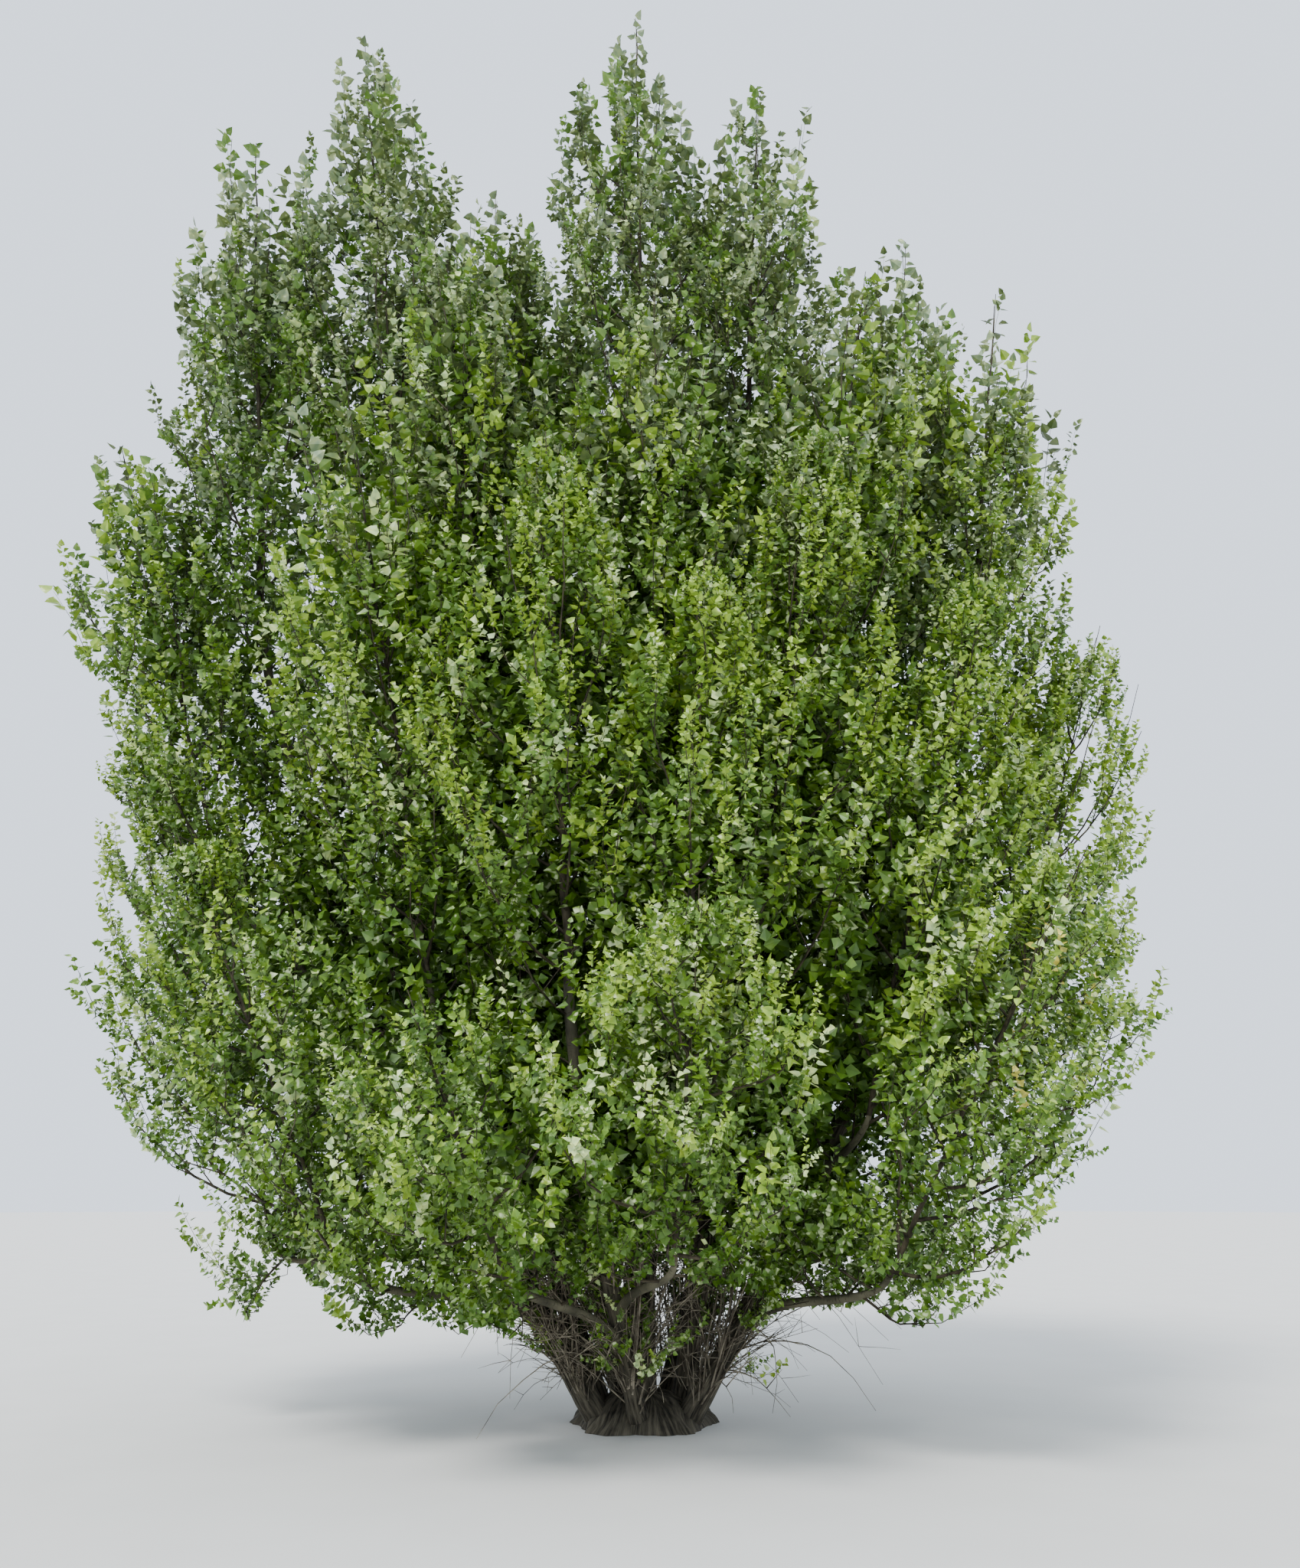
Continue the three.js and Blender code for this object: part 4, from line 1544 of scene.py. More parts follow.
@dataclass
class Crown:
    """The twigs, shoots and leaves of every mass, and of the limbs just below it."""

    masses: dict[str, Mass]
    wood: Wood
    limits: tuple[np.ndarray, np.ndarray]
    outline: Outline = Outline()
    skirt: Skirt = Skirt()
    from_axis: AxisGrowth = AxisGrowth()
    from_limb: LimbGrowth = LimbGrowth()
    aside: SideGrowth = SideGrowth()
    row: ShootRow = ShootRow()
    high_leaders: LeaderGrowth = LeaderGrowth(SprayKind.LEADER, count=9, rows=4, light=0.75, bare=0.94)
    low_leaders: LeaderGrowth = LeaderGrowth(SprayKind.PLUME, count=5, rows=2, light=0.9, bare=0.45)
    sprigs: SprigGrowth = SprigGrowth()
    spine: Spine = Spine()
    daylight: Daylight = Daylight()
    deal: TintDeal = TintDeal()
    core: Core = Core()
    patterns: int = 16
    leader_height: float = 7.4
    leader_part: tuple[float, float] = (0.64, 0.18)
    leader_shoots_from: float = 0.50
    upright_from: float = 0.6
    upright_share: float = 0.7
    main_row: tuple[int, float] = (9, 0.24)
    main_side_row: tuple[int, float] = (6, 0.25)
    limb_row: tuple[int, float] = (6, 0.30)
    limb_side_row: tuple[int, float] = (5, 0.30)
    shoot_tries: int = 3
    shoot_shorter: float = 0.82
    shoot_stem: float = 0.0030
    shoot_taper: tuple[float, float, float] = (1.0, 0.7, 0.35)
    thin_stem: float = 0.0028
    piece_limit: int = 190_000

    def in_own_space(self, mass: Mass, points: np.ndarray) -> np.ndarray:
        """Which points are inside a mass's outline, and nearer to its axis than to any other's.

        Args:
            mass: The mass.
            points: Places, as points by 3.

        Returns:
            A mask.
        """
        fits = self.outline.holds(mass, points)
        near = mass.place(points)[1] / mass.plan.girth - self.outline.overlap
        for rival in self.masses.values():
            if rival is not mass:
                fits &= rival.place(points)[1] / rival.plan.girth > near
        return fits & self.in_limits(points)

    def in_limits(self, points: np.ndarray) -> np.ndarray:
        """Which points are inside the box that the tree keeps to, and above the lowest leaves."""
        low, high = self.limits
        return ((points > low) & (points < high)).all(-1) & self.skirt.clears(points)

    def is_high(self, mass: Mass) -> bool:
        """Whether a mass's tip is one of the tree's tops."""
        return mass.tip[2] > self.leader_height

    def on_axis(self, mass: Mass, random: np.random.Generator) -> Twigs:
        """The twigs of a mass, round its axis by the golden angle and rising to upright tips.

        Args:
            mass: The mass.
            random: Where its chances come from.

        Returns:
            The twigs.
        """
        habit, plan = self.from_axis, mass.plan
        count = round(plan.length * plan.girth / habit.spacing)
        number = np.arange(count)
        share = habit.part * (number + habit.first) / count
        angle = mass.phase + GOLDEN_ANGLE * (number + 1) + random.uniform(-habit.stray, habit.stray, count)
        out = mass.outward(angle)
        start = mass.foot + mass.axis * (share * plan.length)[:, None]
        rise = np.minimum(plan.length * random.uniform(*habit.rises, count), habit.most_rise)
        rise = np.minimum(rise, (1.0 - share) * plan.length * random.uniform(*habit.rises_left, count))
        reach = mass.room(share + rise / plan.length) * random.uniform(*habit.reaches, count)
        lift = mass.axis * rise[:, None]
        for _ in range(habit.tries):
            fits = self.in_own_space(mass, start + out * reach[:, None] + lift)
            reach = np.where(fits, reach, reach * habit.shorter)
        end = start + out * reach[:, None] + lift
        outward, upward = habit.bend
        bend = start + out * (reach * outward)[:, None] + mass.axis * (rise * upward)[:, None]
        up = np.broadcast_to(mass.axis, out.shape)
        return Twigs.bent((start, bend, end), mix(*habit.butts, share), up, TWIG_STEPS, random)

    def on_limb(self, mass: Mass, random: np.random.Generator) -> Twigs:
        """The twigs of the limb that carries a mass, from where it enters the crown up to the mass.

        Args:
            mass: The mass.
            random: Where its chances come from.

        Returns:
            The twigs whose tips are inside the limits.
        """
        habit, fork = self.from_limb, mass.plan.fork
        if fork:
            path = self.wood.boughs[mass.name]
            low, run = habit.bare_bough, path.length
        else:
            path = self.wood.stems[mass.name]
            low, run = path.share_at(habit.lowest_on_stem), path.head[2]
        spacing = habit.spacing * (habit.low_spacing if fork < habit.low_fork else 1.0)
        count = max(round((1 - low) * run / spacing), 1)
        share = low + (1 - low) * (np.arange(count) + 0.5) / count
        start = np.array([path.point(s) for s in share])
        tangent = np.array([path.tangent(s) for s in share])
        along, upright = habit.upward
        up = unit(tangent * along + upright * UP)
        angle = mass.phase - GOLDEN_ANGLE * (np.arange(count) + 1)
        angle = angle + random.uniform(-habit.stray, habit.stray, count)
        out = around(up, unit(np.cross(habit.level, up)), angle)
        grown = (share - low) / (1 - low)
        reach = mass.plan.girth * mix(*habit.reaches, grown) * random.uniform(*habit.reach_chance, count)
        rise = mix(*habit.rises, grown) * random.uniform(*habit.rise_chance, count)
        if 0 < fork < habit.low_fork:
            rise *= random.uniform(*habit.low_rises, count)
            reach *= random.uniform(*habit.low_reaches, count)
        end = start + out * reach[:, None] + up * rise[:, None]
        outward, upward = habit.bend
        bend = start + out * (reach * outward)[:, None] + up * (rise * upward)[:, None]
        twigs = Twigs.bent((start, bend, end), np.full(count, habit.butt), up, TWIG_STEPS, random)
        return twigs.kept(self.in_limits(end))

    def sides_of(
        self, twigs: Twigs, fits: Callable[[np.ndarray], np.ndarray], random: np.random.Generator
    ) -> Twigs:
        """The side twigs, which turn out of a twig and then rise beside it.

        Args:
            twigs: The twigs that carry them.
            fits: Tells which points a side twig may reach.
            random: Where their chances come from.

        Returns:
            The side twigs whose tips fit.
        """
        habit = self.aside
        count, per = len(twigs.lines), habit.per_twig
        place = (np.arange(per) + habit.first) / (per + habit.beyond)
        along = place**habit.crowding + random.uniform(-habit.stray, habit.stray, (count, per))
        foot, tangent = twigs.at(along)
        up = np.broadcast_to(twigs.up[:, None], foot.shape)
        turn = random.uniform(0, math.tau, (count, 1)) + habit.turn * np.arange(per)
        across = around(up, unit(np.cross(tangent, up + SMALL_STEP)), turn)
        length = random.uniform(*habit.lengths, (count, per)) * (1 - habit.shorter_up * along)
        foot, tangent, up, across = (part.reshape(-1, 3) for part in (foot, tangent, up, across))
        length = length.ravel()
        (ahead, out), (high, beside), (first, second) = habit.outward, habit.upward, habit.parts
        for _ in range(habit.tries):
            size = length[:, None]
            bend = foot + unit(tangent * ahead + across * out) * size * first
            end = bend + unit(up * high + across * beside) * size * second
            length = np.where(fits(end), length, length * habit.shorter)
        butts = np.repeat(twigs.butts, per) * habit.butt
        return Twigs.bent((foot, bend, end), butts, up, habit.steps, random).kept(fits(end))

    def shoots_on(self, twigs: Twigs, row: tuple[int, float], random: np.random.Generator) -> Shoots:
        """The leafy shoots along twigs, the last at the tip.

        Args:
            twigs: The twigs.
            row: How many each carries, and the share of a twig at which the first stands.
            random: Where their chances come from.

        Returns:
            The shoots.
        """
        habit, count, (per, first) = self.row, len(twigs.lines), row
        number = np.arange(per)
        along = mix(first, 1.0, (number / (per - 1)) ** habit.crowding)
        along = np.clip(along + random.uniform(-habit.stray, habit.stray, (count, per)), 0, 1)
        along[:, -1] = 1.0
        foot, tangent = twigs.at(along)
        up = np.broadcast_to(twigs.up[:, None], foot.shape)
        turn = random.uniform(0, math.tau, (count, 1)) + GOLDEN_ANGLE * number
        across = around(up, unit(np.cross(up, OFF_AXIS)), turn)
        ahead, upward, aside = habit.heading
        aside = np.where(number == per - 1, habit.last_aside, aside)[:, None]
        heading = unit(tangent * ahead + up * upward + across * aside)
        size = random.uniform(*habit.sizes, (count, per))
        kind = np.where(along > habit.tip_from, SprayKind.PLUME.number, SprayKind.OUTER.number)
        return Shoots.rowed(foot, heading, size, kind, along)

    def leaders(
        self, mass: Mass, habit: LeaderGrowth, random: np.random.Generator
    ) -> tuple[Twigs, Shoots]:
        """The leaders at a mass's tip: one on its axis and others beside it, each a column of leaves.

        Args:
            mass: The mass.
            habit: How its leaders grow.
            random: Where their chances come from.

        Returns:
            Their stems and their shoots.
        """
        count, rows = habit.count, habit.rows
        angle = mass.phase + math.tau * np.arange(count) / (count - 1)
        angle = angle + random.uniform(-habit.stray, habit.stray, count)
        aside = random.uniform(*habit.asides, count) * mass.plan.girth
        top = random.uniform(*habit.tops, count)
        aside[0], top[0] = 0.0, 1.0
        out = mass.outward(angle) * aside[:, None]
        first = mass.foot + mass.axis * (random.uniform(*habit.feet, count) * mass.plan.length)[:, None]
        height = top * mass.plan.length - self.outline.below_tip
        last = mass.foot + mass.axis * height[:, None] + out
        rise = ((last - first) @ mass.axis)[:, None]
        outward, upward = habit.bend
        bend = first + out * outward + mass.axis * rise * upward
        up = out * 0 + mass.axis
        stems = Twigs.bent((first, bend, last), np.full(count, habit.butt), up, habit.steps, random)
        size = random.uniform(*habit.sizes, (count, rows))
        below = np.cumsum(size * habit.kind.length * habit.pitch, axis=1)[..., None]
        foot = last[:, None] - mass.axis * below - out[:, None] * habit.lean_in * below
        heading = unit(mass.axis + random.normal(0, habit.sway, (count, rows, 3)))
        light = np.broadcast_to(habit.light - habit.dimmer * np.arange(rows), size.shape)
        kind = np.full((count, rows), habit.kind.number)
        return stems, Shoots.rowed(foot, heading, size, kind, light)

    def shoots_of(self, mass: Mass, random: np.random.Generator) -> tuple[list[Twigs], Shoots]:
        """Everything that grows in a mass and on its limb.

        Args:
            mass: The mass.
            random: Where its chances come from.

        Returns:
            The twigs, coarse ones first, and the shoots.
        """

        def own(points: np.ndarray) -> np.ndarray:
            """Which points are in the mass's own space."""
            return self.in_own_space(mass, points)

        high, plume = self.is_high(mass), SprayKind.PLUME.number
        habit = self.high_leaders if high else self.low_leaders
        main, limb = self.on_axis(mass, random), self.on_limb(mass, random)
        ends = mass.place(main.lines[:, -1])[0]
        main = main.kept(random.random(len(ends)) > rising(ends, *self.leader_part) * habit.bare)
        stems, columns = self.leaders(mass, habit, random)
        main_sides = self.sides_of(main, own, random)
        limb_sides = self.sides_of(limb, self.in_limits, random)
        on_main = self.shoots_on(main, self.main_row, random)
        inside = Shoots.joined([on_main, self.shoots_on(main_sides, self.main_side_row, random)])
        for _ in range(self.shoot_tries):
            inside.size = np.where(own(inside.tip()), inside.size, inside.size * self.shoot_shorter)
        tip = inside.tip()
        below_top = mass.place(tip)[0] < 1 - self.outline.below_tip / mass.plan.length
        inside = inside.kept(own(tip) | ((inside.kind == plume) & self.in_limits(tip) & below_top))
        share, away = mass.place(inside.tip())
        outward = np.clip(away / np.maximum(mass.room(share), self.daylight.least_room), 0, 1)
        top = share > self.upright_from
        inside.heading[top] = unit(inside.heading[top] + mass.axis * self.upright_share)
        leading = (share > self.leader_shoots_from) & (inside.kind == plume) & high
        inside.kind[leading] = SprayKind.LEADER.number
        lit = self.daylight
        inside.light = lit.at_tip * inside.light**2 + lit.outward * outward + lit.upward * share
        on_limb = self.shoots_on(limb, self.limb_row, random)
        below = Shoots.joined([on_limb, self.shoots_on(limb_sides, self.limb_side_row, random)])
        below = below.kept(self.in_limits(below.tip()))
        below.light = lit.at_tip * below.light**2 + lit.on_limb
        columns = columns.kept(self.in_limits(columns.tip()))
        return [main, limb, stems, main_sides, limb_sides], Shoots.joined([inside, columns, below])

    def low_sprigs(self) -> tuple[Twigs, Shoots]:
        """The short leafy sprigs on the stems' lower ends, with their shoots.

        Returns:
            The sprigs, and the shoots.
        """
        habit, random = self.sprigs, np.random.default_rng(SPRIG_SEED)
        count, stems = habit.count, list(self.wood.stems.values())
        height = mix(*habit.heights, random.random(count) ** habit.crowding)
        paths = [stems[number % len(stems)] for number in range(count)]
        start = np.array([path.point(path.share_at(z)) for path, z in zip(paths, height)])
        angle = np.arctan2(start[:, 1], start[:, 0]) + random.normal(0, habit.stray, count)
        out = np.stack([np.cos(angle), np.sin(angle), np.zeros(count)], -1)
        reach = random.uniform(*habit.reaches, count)[:, None]
        rise = random.uniform(*habit.rises, count)[:, None] * UP
        (outward, upward, lift), (along, upright) = habit.bend, habit.upward
        bend = start + out * reach * outward + rise * upward + lift * UP
        marks = (start, bend, start + out * reach + rise)
        up = unit(out * along + upright * UP)
        twigs = Twigs.bent(marks, np.full(count, habit.butt), up, TWIG_STEPS, random)
        shoots = self.shoots_on(twigs, habit.row, random)
        shoots.size *= habit.size
        least, more = habit.light
        shoots.light = least + more * shoots.light
        return twigs, shoots.kept(shoots.tip()[:, 2] > habit.lowest_tip)

    def tint_of(self, shoots: Shoots, random: np.random.Generator) -> np.ndarray:
        """Deals each shoot its green by where it stands, through how much light it is taken to get: the
        darker greens are painted shade and the lighter ones painted light.

        Args:
            shoots: Every shoot.
            random: Where its chances come from.

        Returns:
            The number of each shoot's tint, in the order of LeafTint.
        """
        deal, (x, y, z) = self.deal, shoots.foot.T
        rank = self.daylight.falls_on(shoots, random).argsort().argsort() / len(z)
        tint = np.full(len(z), LeafTint.MID.number)
        # Painted shade and light: shoots ranked low in the light get darker greens, those ranked high
        # lighter ones.
        tint[rank < deal.deep_to] = LeafTint.DEEP.number
        tint[(rank >= deal.cool_from) & (rank < deal.bright_from)] = LeafTint.COOL.number
        tint[rank >= deal.bright_from] = LeafTint.BRIGHT.number
        high = rising(z, *deal.high_part)
        top, lit = random.random(len(z)), rank >= deal.high_from
        tint[(top < deal.high_cool * high) & lit] = LeafTint.COOL.number
        # Lit shoots at the top get grey-green, partly painted sky reflection.
        tint[(top < deal.high_grey * high) & lit] = LeafTint.GREY.number
        tint[top < deal.high_olive * high] = LeafTint.OLIVE.number
        # Pale leaves go only to lit shoots: pale undersides with painted sky glint.
        pale = np.where(shoots.kind == SprayKind.PLUME.number, deal.pale_tips, deal.pale_shoots)
        tint[(random.random(len(z)) < pale) & (rank > deal.pale_from)] = LeafTint.PALE.number
        left, back, above = deal.corner
        corner = (x > left) & (y < back) & (z < above) & (rank > deal.yellow_from)
        tint[corner & (random.random(len(z)) < deal.yellow)] = LeafTint.YELLOW.number
        return tint

    def spine_of(self, mass: Mass, random: np.random.Generator) -> tuple[np.ndarray, np.ndarray]:
        """The tube of the twig along a mass's axis.

        Args:
            mass: The mass.
            random: Where its chances come from.

        Returns:
            Its points, and its triangles' corners.
        """
        steps = self.spine.steps
        run = np.linspace(0, 1, steps)
        butt = BOUGH_TIP_RADIUS if mass.plan.fork else STEM_TIP_RADIUS
        line = mass.foot + mass.axis * (run * (mass.plan.length - self.spine.short))[:, None]
        line[1:-1] += random.normal(0, self.spine.wander, (steps - 2, 3))
        return tubes(line[None], mix(butt, self.spine.tip, run)[None], mass.side[None], self.spine.sides)

    def build(self, twig: bpy.types.Material) -> None:
        """Grows every mass, then joins the twigs and each tint of leaf into pieces.

        Args:
            twig: The material of twigs and of the stems of shoots.
        """
        nodes = [f"foliage_{name}" for name in self.masses]
        bare, sets = ArrayMesh("twigs"), []
        for mass in self.masses.values():
            random = np.random.default_rng(mass.seed)
            grown, shoots = self.shoots_of(mass, random)
            for twigs in grown:
                bare.add(*twigs.tapered(np.cross(twigs.up, mass.side)))
            bare.add(*self.spine_of(mass, random))
            sets.append(shoots)
        sprigs, shoots = self.low_sprigs()
        bare.add(*sprigs.tapered(np.cross(sprigs.up, OFF_AXIS)))
        sets.append(shoots)
        dress(bare.build(smooth=True), twig, nodes)
        self.leaf_out(self.shaded(Shoots.joined(sets)), twig, nodes)

    def shaded(self, shoots: Shoots) -> Shoots:
        """Thins the shoots deep in the crown, gives those that are left there fewer, wider leaves, and
        takes light from them, so that they are dealt darker greens as painted shade.

        Args:
            shoots: Every shoot, which this changes.

        Returns:
            The shoots that are left.
        """
        core, random = self.core, np.random.default_rng(THINNING_SEED)
        leader, plume = SprayKind.LEADER.number, SprayKind.PLUME.number
        depth, height = OpenAir(shoots.foot).depth(shoots.foot), shoots.foot[:, 2]
        shoots.kind[(depth > 0) & (shoots.kind > plume)] = SprayKind.MIDDLE.number
        shoots.kind[(depth >= core.shell) & (shoots.kind > leader)] = SprayKind.INNER.number
        # Painted shade: the deeper a shoot, the less light it gets, and the darker its green.
        shoots.light = shoots.light - self.daylight.lost_inside * depth
        growth = mix(core.low_size, 1.0, np.clip(height / core.low_run - core.low_short, 0, 1))
        growth = growth * (1 + core.growth * rising(depth, core.shell, core.growth_run))
        shoots.size = shoots.size * np.where(shoots.kind > leader, growth, 1.0)
        open_top = core.open_top * rising(height, *core.top_part) * (shoots.kind > plume)
        most, fewer = core.keep
        keep = np.clip(most - fewer * depth, core.least_kept, 1.0) * (1 - open_top)
        return shoots.kept(random.random(len(depth)) < keep)

    def leaf_out(self, shoots: Shoots, twig: bpy.types.Material, nodes: list[str]) -> None:
        """Makes the stems and leaves of the shoots.

        Args:
            shoots: The shoots.
            twig: The material of their stems.
            nodes: The nodes that the pieces stand for.
        """
        random = np.random.default_rng(FIRST_SEED)
        tint = self.tint_of(shoots, random)
        grown = [[kind.grow(random) for _ in range(self.patterns)] for kind in SprayKind]
        which = random.integers(0, self.patterns, len(shoots.size))
        spin = random.uniform(0, math.tau, len(shoots.size))
        side = around(shoots.heading, unit(np.cross(shoots.heading, OFF_AXIS)), spin)
        turned = np.stack([side, np.cross(shoots.heading, side), shoots.heading], 1)
        sprays = Sprays(shoots, grown, which, turned * shoots.size[:, None, None])
        dress(self.shoot_stems(sprays, side), twig, nodes)
        for shade in LeafTint:
            material = shade.material()
            batches = sprays.batches(tint == shade.number, self.piece_limit)
            for number, batch in enumerate(batches, 1):
                suffix = f"_{number}" if len(batches) > 1 else ""
                leaves = ArrayMesh(f"leaves_{shade.name.lower()}{suffix}")
                for placed, faces in batch:
                    leaves.add(placed, faces)
                dress(leaves.build(smooth=False), material, nodes)
        counts = np.bincount(shoots.kind, minlength=len(SprayKind))
        total = sum(int(number) * kind.leaves for number, kind in zip(counts, SprayKind))
        LOG.info("%s shoots with %d leaves", counts.tolist(), total)

    def shoot_stems(self, sprays: Sprays, side: np.ndarray) -> bpy.types.Object:
        """The stems: tubes for leaders and plumes, and thin cones for the others out to the middle ones.

        Args:
            sprays: Every shoot, turned and sized.
            side: A vector for each that is square to its stem.

        Returns:
            The piece.
        """
        mesh, shoots, lines = ArrayMesh("shoot_stems"), sprays.shoots, sprays.stems()
        some = shoots.kind <= SprayKind.PLUME.number
        radii = self.shoot_stem * shoots.size[some, None] * np.array(self.shoot_taper)[None]
        mesh.add(*tubes(lines[some], radii, side[some], TWIG_SIDES))
        some = (shoots.kind == SprayKind.OUTER.number) | (shoots.kind == SprayKind.MIDDLE.number)
        mesh.add(*cones(lines[some][:, [0, -1]], self.thin_stem, side[some]))
        return mesh.build(smooth=True)


@dataclass(frozen=True)
class Arch:
    """How a dead twig arches: which way it sets out, and how far it goes, rises and sags."""

    angle: float
    reach: float
    lift: float
    sag: float


@dataclass
class DeadTwigs:
    """Thin dead twigs: upright ones crowded round the stool, and ones that arch out of the stems."""

    upright: int = 340
    upright_heights: tuple[float, float] = (0.10, 0.50)
    upright_out: float = 0.07
    upright_reaches: tuple[float, float] = (0.12, 0.85)
    upright_lifts: tuple[float, float] = (0.5, 1.8)
    upright_sags: tuple[float, float] = (0.1, 0.7)
    per_stem: int = 34
    heights: tuple[float, float] = (0.25, 2.1)
    reaches: tuple[float, float] = (0.28, 0.85)
    reach_power: float = 1.8
    lifts: tuple[float, float] = (0.15, 0.95)
    sags: tuple[float, float] = (0.30, 1.0)
    clear: float = 0.08
    steps: int = 8
    stray: float = 1.0
    turning: float = 0.6
    wander: float = 0.013
    sag_power: float = 2.4
    thick: tuple[float, float] = (0.0040, 0.0100)
    tip: float = 0.0016
    side_counts: tuple[int, int] = (2, 6)
    side_turns: tuple[float, float] = (0.4, 1.3)
    side_rises: tuple[float, float] = (-0.1, 1.2)
    side_lengths: tuple[float, float] = (0.14, 0.42)
    side_bends: tuple[float, float] = (-0.16, 0.10)
    side_middle: float = 0.3
    side_clear: float = 0.5
    side_taper: tuple[float, float, float] = (0.55, 0.40, 0.16)

    def build(self, stems: dict[str, StemPath], material: bpy.types.Material) -> None:
        """Makes the twigs as one piece.

        Args:
            stems: The stems that they stand on.
            material: What they are made of.
        """
        random = np.random.default_rng(DEAD_TWIG_SEED)
        mesh = ArrayMesh("dead_twigs")
        least, more = self.reaches
        for path in stems.values():
            outward = math.atan2(path.head[1], path.head[0])
            for _ in range(self.per_stem):
                start = path.point(path.share_at(random.uniform(*self.heights)))
                angle = outward + random.normal(0, self.stray)
                reach = least + more * random.random() ** self.reach_power
                lift, sag = random.uniform(*self.lifts) * reach, random.uniform(*self.sags) * reach
                self.branch(mesh, start, Arch(angle, reach, lift, sag), random)
        paths = list(stems.values())
        for _ in range(self.upright):
            path = paths[random.integers(len(paths))]
            start = path.point(path.share_at(random.uniform(*self.upright_heights)))
            angle = math.atan2(start[1], start[0]) + random.normal(0, self.stray)
            start = start + self.upright_out * np.array((math.cos(angle), math.sin(angle), 0.0))
            reach = random.uniform(*self.upright_reaches)
            lift, sag = random.uniform(*self.upright_lifts), random.uniform(*self.upright_sags) * reach
            self.branch(mesh, start, Arch(angle, reach, lift, sag), random)
        dress(mesh.build(smooth=True), material, [])

    def branch(
        self, mesh: ArrayMesh, start: np.ndarray, arch: Arch, random: np.random.Generator
    ) -> None:
        """Adds one twig and its side twigs.

        Args:
            mesh: What they are added to.
            start: The twig's foot.
            arch: How the twig arches.
            random: Where their chances come from.
        """
        run, last = np.linspace(0, 1, self.steps), self.steps - 1
        heading = arch.angle + random.normal(0, self.turning) * run
        level = np.array((-math.sin(arch.angle), math.cos(arch.angle), 0.0))
        line = np.repeat(start[None], self.steps, 0)
        line[1:, 0] += np.cumsum(np.cos(heading[1:])) * arch.reach / last
        line[1:, 1] += np.cumsum(np.sin(heading[1:])) * arch.reach / last
        line[:, 2] += arch.lift * run - arch.sag * run**self.sag_power
        line += np.cumsum(random.normal(0, self.wander, (self.steps, 3)), axis=0) * run[:, None]
        line[:, 2] += max(self.clear - line[-1, 2], 0.0) * run**self.sag_power
        thick = random.uniform(*self.thick)
        mesh.add(*tubes(line[None], mix(thick, self.tip, run)[None], level[None], TWIG_SIDES))
        length = math.hypot(arch.reach, arch.lift)
        for _ in range(random.integers(*self.side_counts)):
            at = random.integers(1, last)
            turn = heading[at] + random.choice((-1, 1)) * random.uniform(*self.side_turns)
            side = unit(np.array((math.cos(turn), math.sin(turn), random.uniform(*self.side_rises))))
            size = length * random.uniform(*self.side_lengths)
            bend = random.uniform(*self.side_bends) * size
            short = line[at] + np.outer((0.0, 0.5, 1.0), side * size)
            short[1:, 2] += (self.side_middle * bend, bend)
            short[:, 2] = np.maximum(short[:, 2], self.side_clear * self.clear)
            mesh.add(*tubes(short[None], thick * np.array((self.side_taper,)), level[None], TWIG_SIDES))


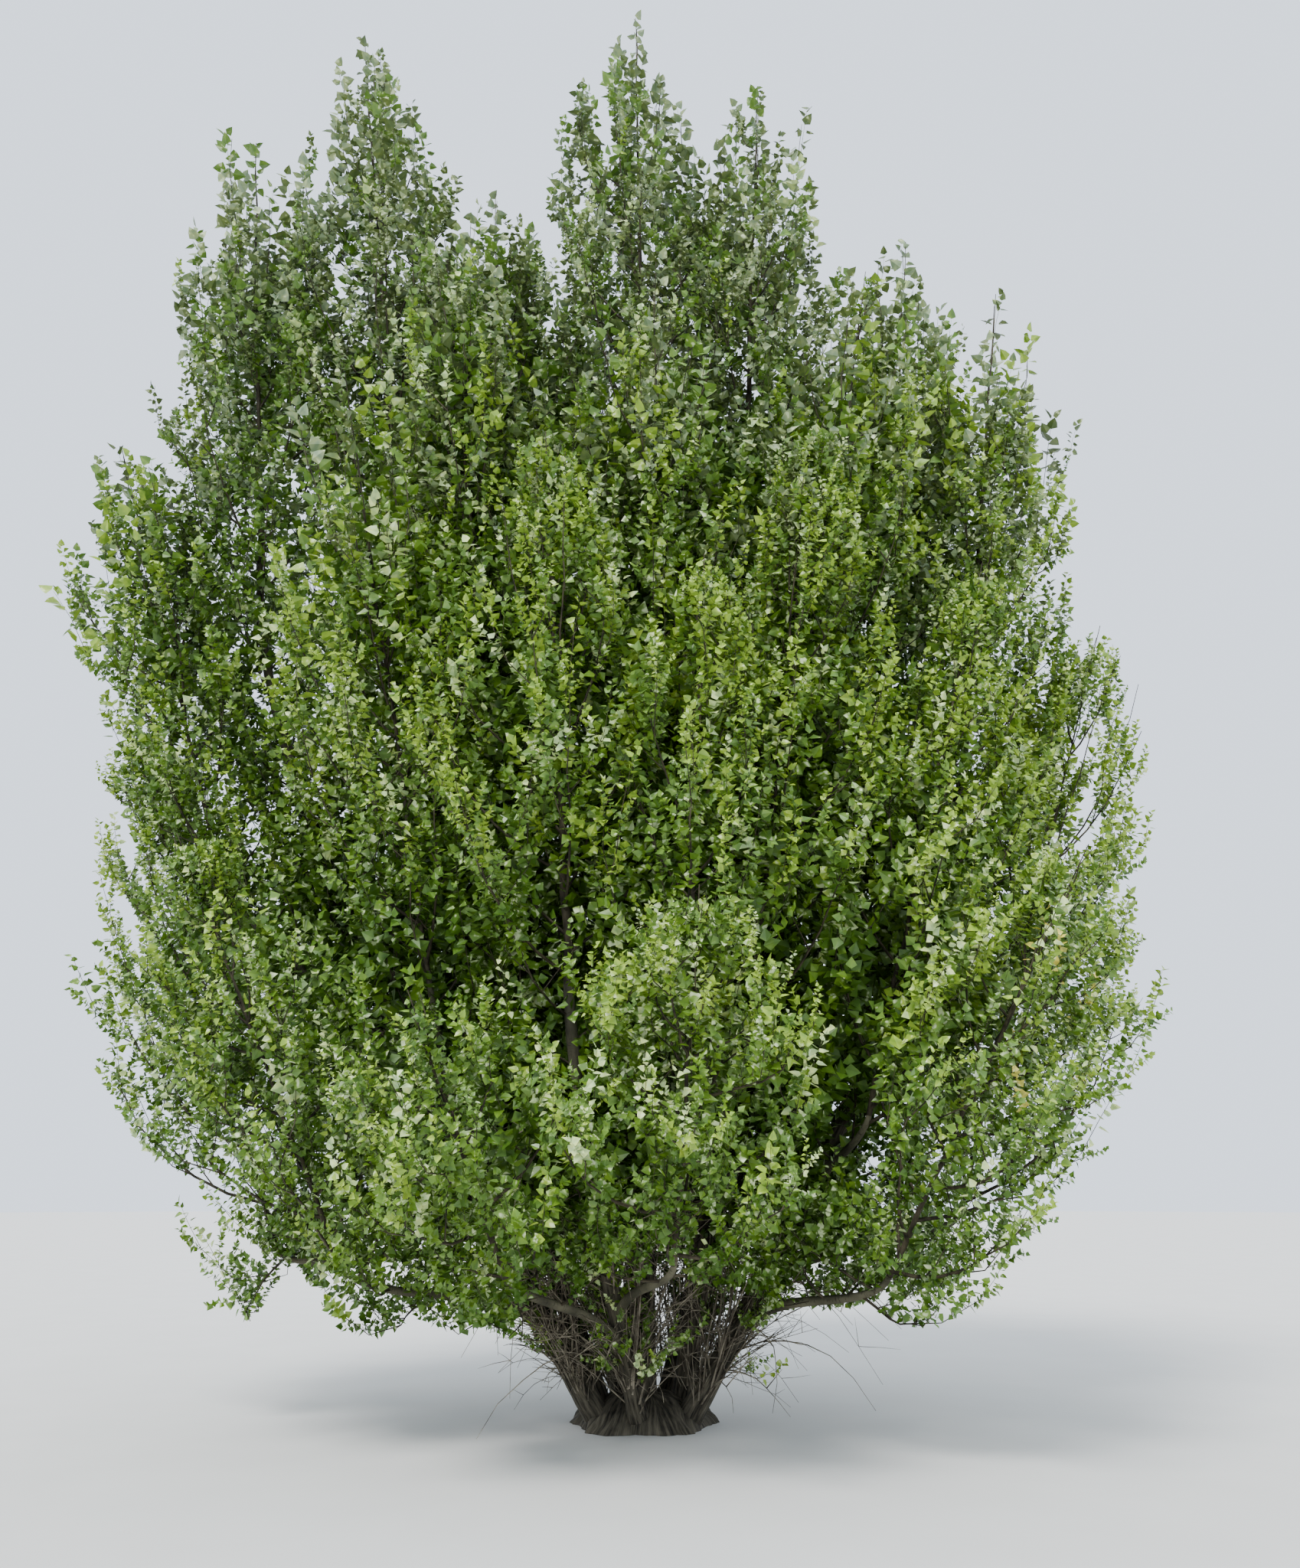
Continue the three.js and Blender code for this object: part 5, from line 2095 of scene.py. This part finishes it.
@dataclass
class Studio:
    """A plain pale floor, soft light, and the camera where the photograph was taken."""

    floor_radius: float = 120.0
    floor_sides: int = 96
    floor_colour: tuple[int, int, int] = (214, 212, 206)
    floor_shade: float = 0.96
    sky_colour: tuple[float, float, float] = (0.78, 0.87, 1.0)
    sky_strength: float = 1.85
    sun_strength: float = 4.0
    sun_spread: float = 20.0
    sun_turn: tuple[float, float, float] = (38.0, 0.0, -28.0)
    sensor: float = 36.0
    far: float = 500.0

    def build(self) -> None:
        """Makes the studio."""
        self.floor()
        world = bpy.data.worlds.new("overcast")
        world.use_nodes = True
        background = world.node_tree.nodes["Background"]
        background.inputs["Color"].default_value = (*self.sky_colour, 1.0)
        background.inputs["Strength"].default_value = self.sky_strength
        bpy.context.scene.world = world
        lamp = bpy.data.lights.new("soft_sun", "SUN")
        lamp.energy, lamp.angle = self.sun_strength, math.radians(self.sun_spread)
        sun = object_from("soft_sun", lamp)
        sun.rotation_euler = [math.radians(v) for v in self.sun_turn]
        camera = bpy.data.cameras.new("camera")
        camera.sensor_width = self.sensor
        camera.lens = FOCAL_PIXELS / max(PHOTO_SIZE) * camera.sensor_width
        camera.clip_end = self.far
        seat = object_from("camera", camera)
        seat.location = CAMERA_PLACE
        seat.rotation_euler = (math.radians(90 + CAMERA_PITCH), 0.0, 0.0)
        bpy.context.scene.camera = seat

    def floor(self) -> None:
        """The floor, a little mottled."""
        bm = bmesh.new()
        disc = {"cap_ends": True, "cap_tris": True, "radius": self.floor_radius}
        bmesh.ops.create_circle(bm, segments=self.floor_sides, **disc)
        floor = finished("floor", bm)
        sheet = NodeSheet("pale_floor")
        tone = linear(*self.floor_colour)
        stops = ((0.3, scaled(tone, self.floor_shade)), (0.7, tone))
        colour = sheet.ramp(sheet.cloud((1.4, 1.4, 1.4), 4.0), stops)
        sheet.feed(sheet.shader, {"Base Color": colour, "Roughness": 0.9})
        floor.data.materials.append(sheet.material)
        floor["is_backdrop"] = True


def leaf_limits(low: Sequence[float], high: Sequence[float]) -> tuple[np.ndarray, np.ndarray]:
    """How far shoots may reach for their leaves to stay within 3% a side and 10 mm of the solids' box."""
    low, high = np.array(low), np.array(high)
    spare = (high - low) * BOX_SHARE + BOX_SPARE - LEAF_REACH
    return low - spare, high + spare


def main() -> None:
    """Builds the tree and its studio around the frame."""
    logging.basicConfig(level=logging.INFO, format="%(name)s %(message)s")
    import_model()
    solid_box = [list(corner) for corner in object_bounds()]
    Studio().build()
    masses = {
        name: Mass(name, plan, FIRST_SEED + SEED_STEP * index)
        for index, (name, plan) in enumerate(MASSES.items())
    }
    wood = Wood(masses)
    wood.build(BarkFinish().material())
    twig = TwigFinish("green_brown_twig", (34, 30, 22), (80, 72, 54))
    Crown(masses, wood, leaf_limits(*solid_box)).build(twig.material())
    dead = TwigFinish("dead_grey_twig", (72, 64, 52), (152, 142, 122))
    DeadTwigs().build(wood.stems, dead.material())
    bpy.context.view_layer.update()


if __name__ == "__main__":
    main()
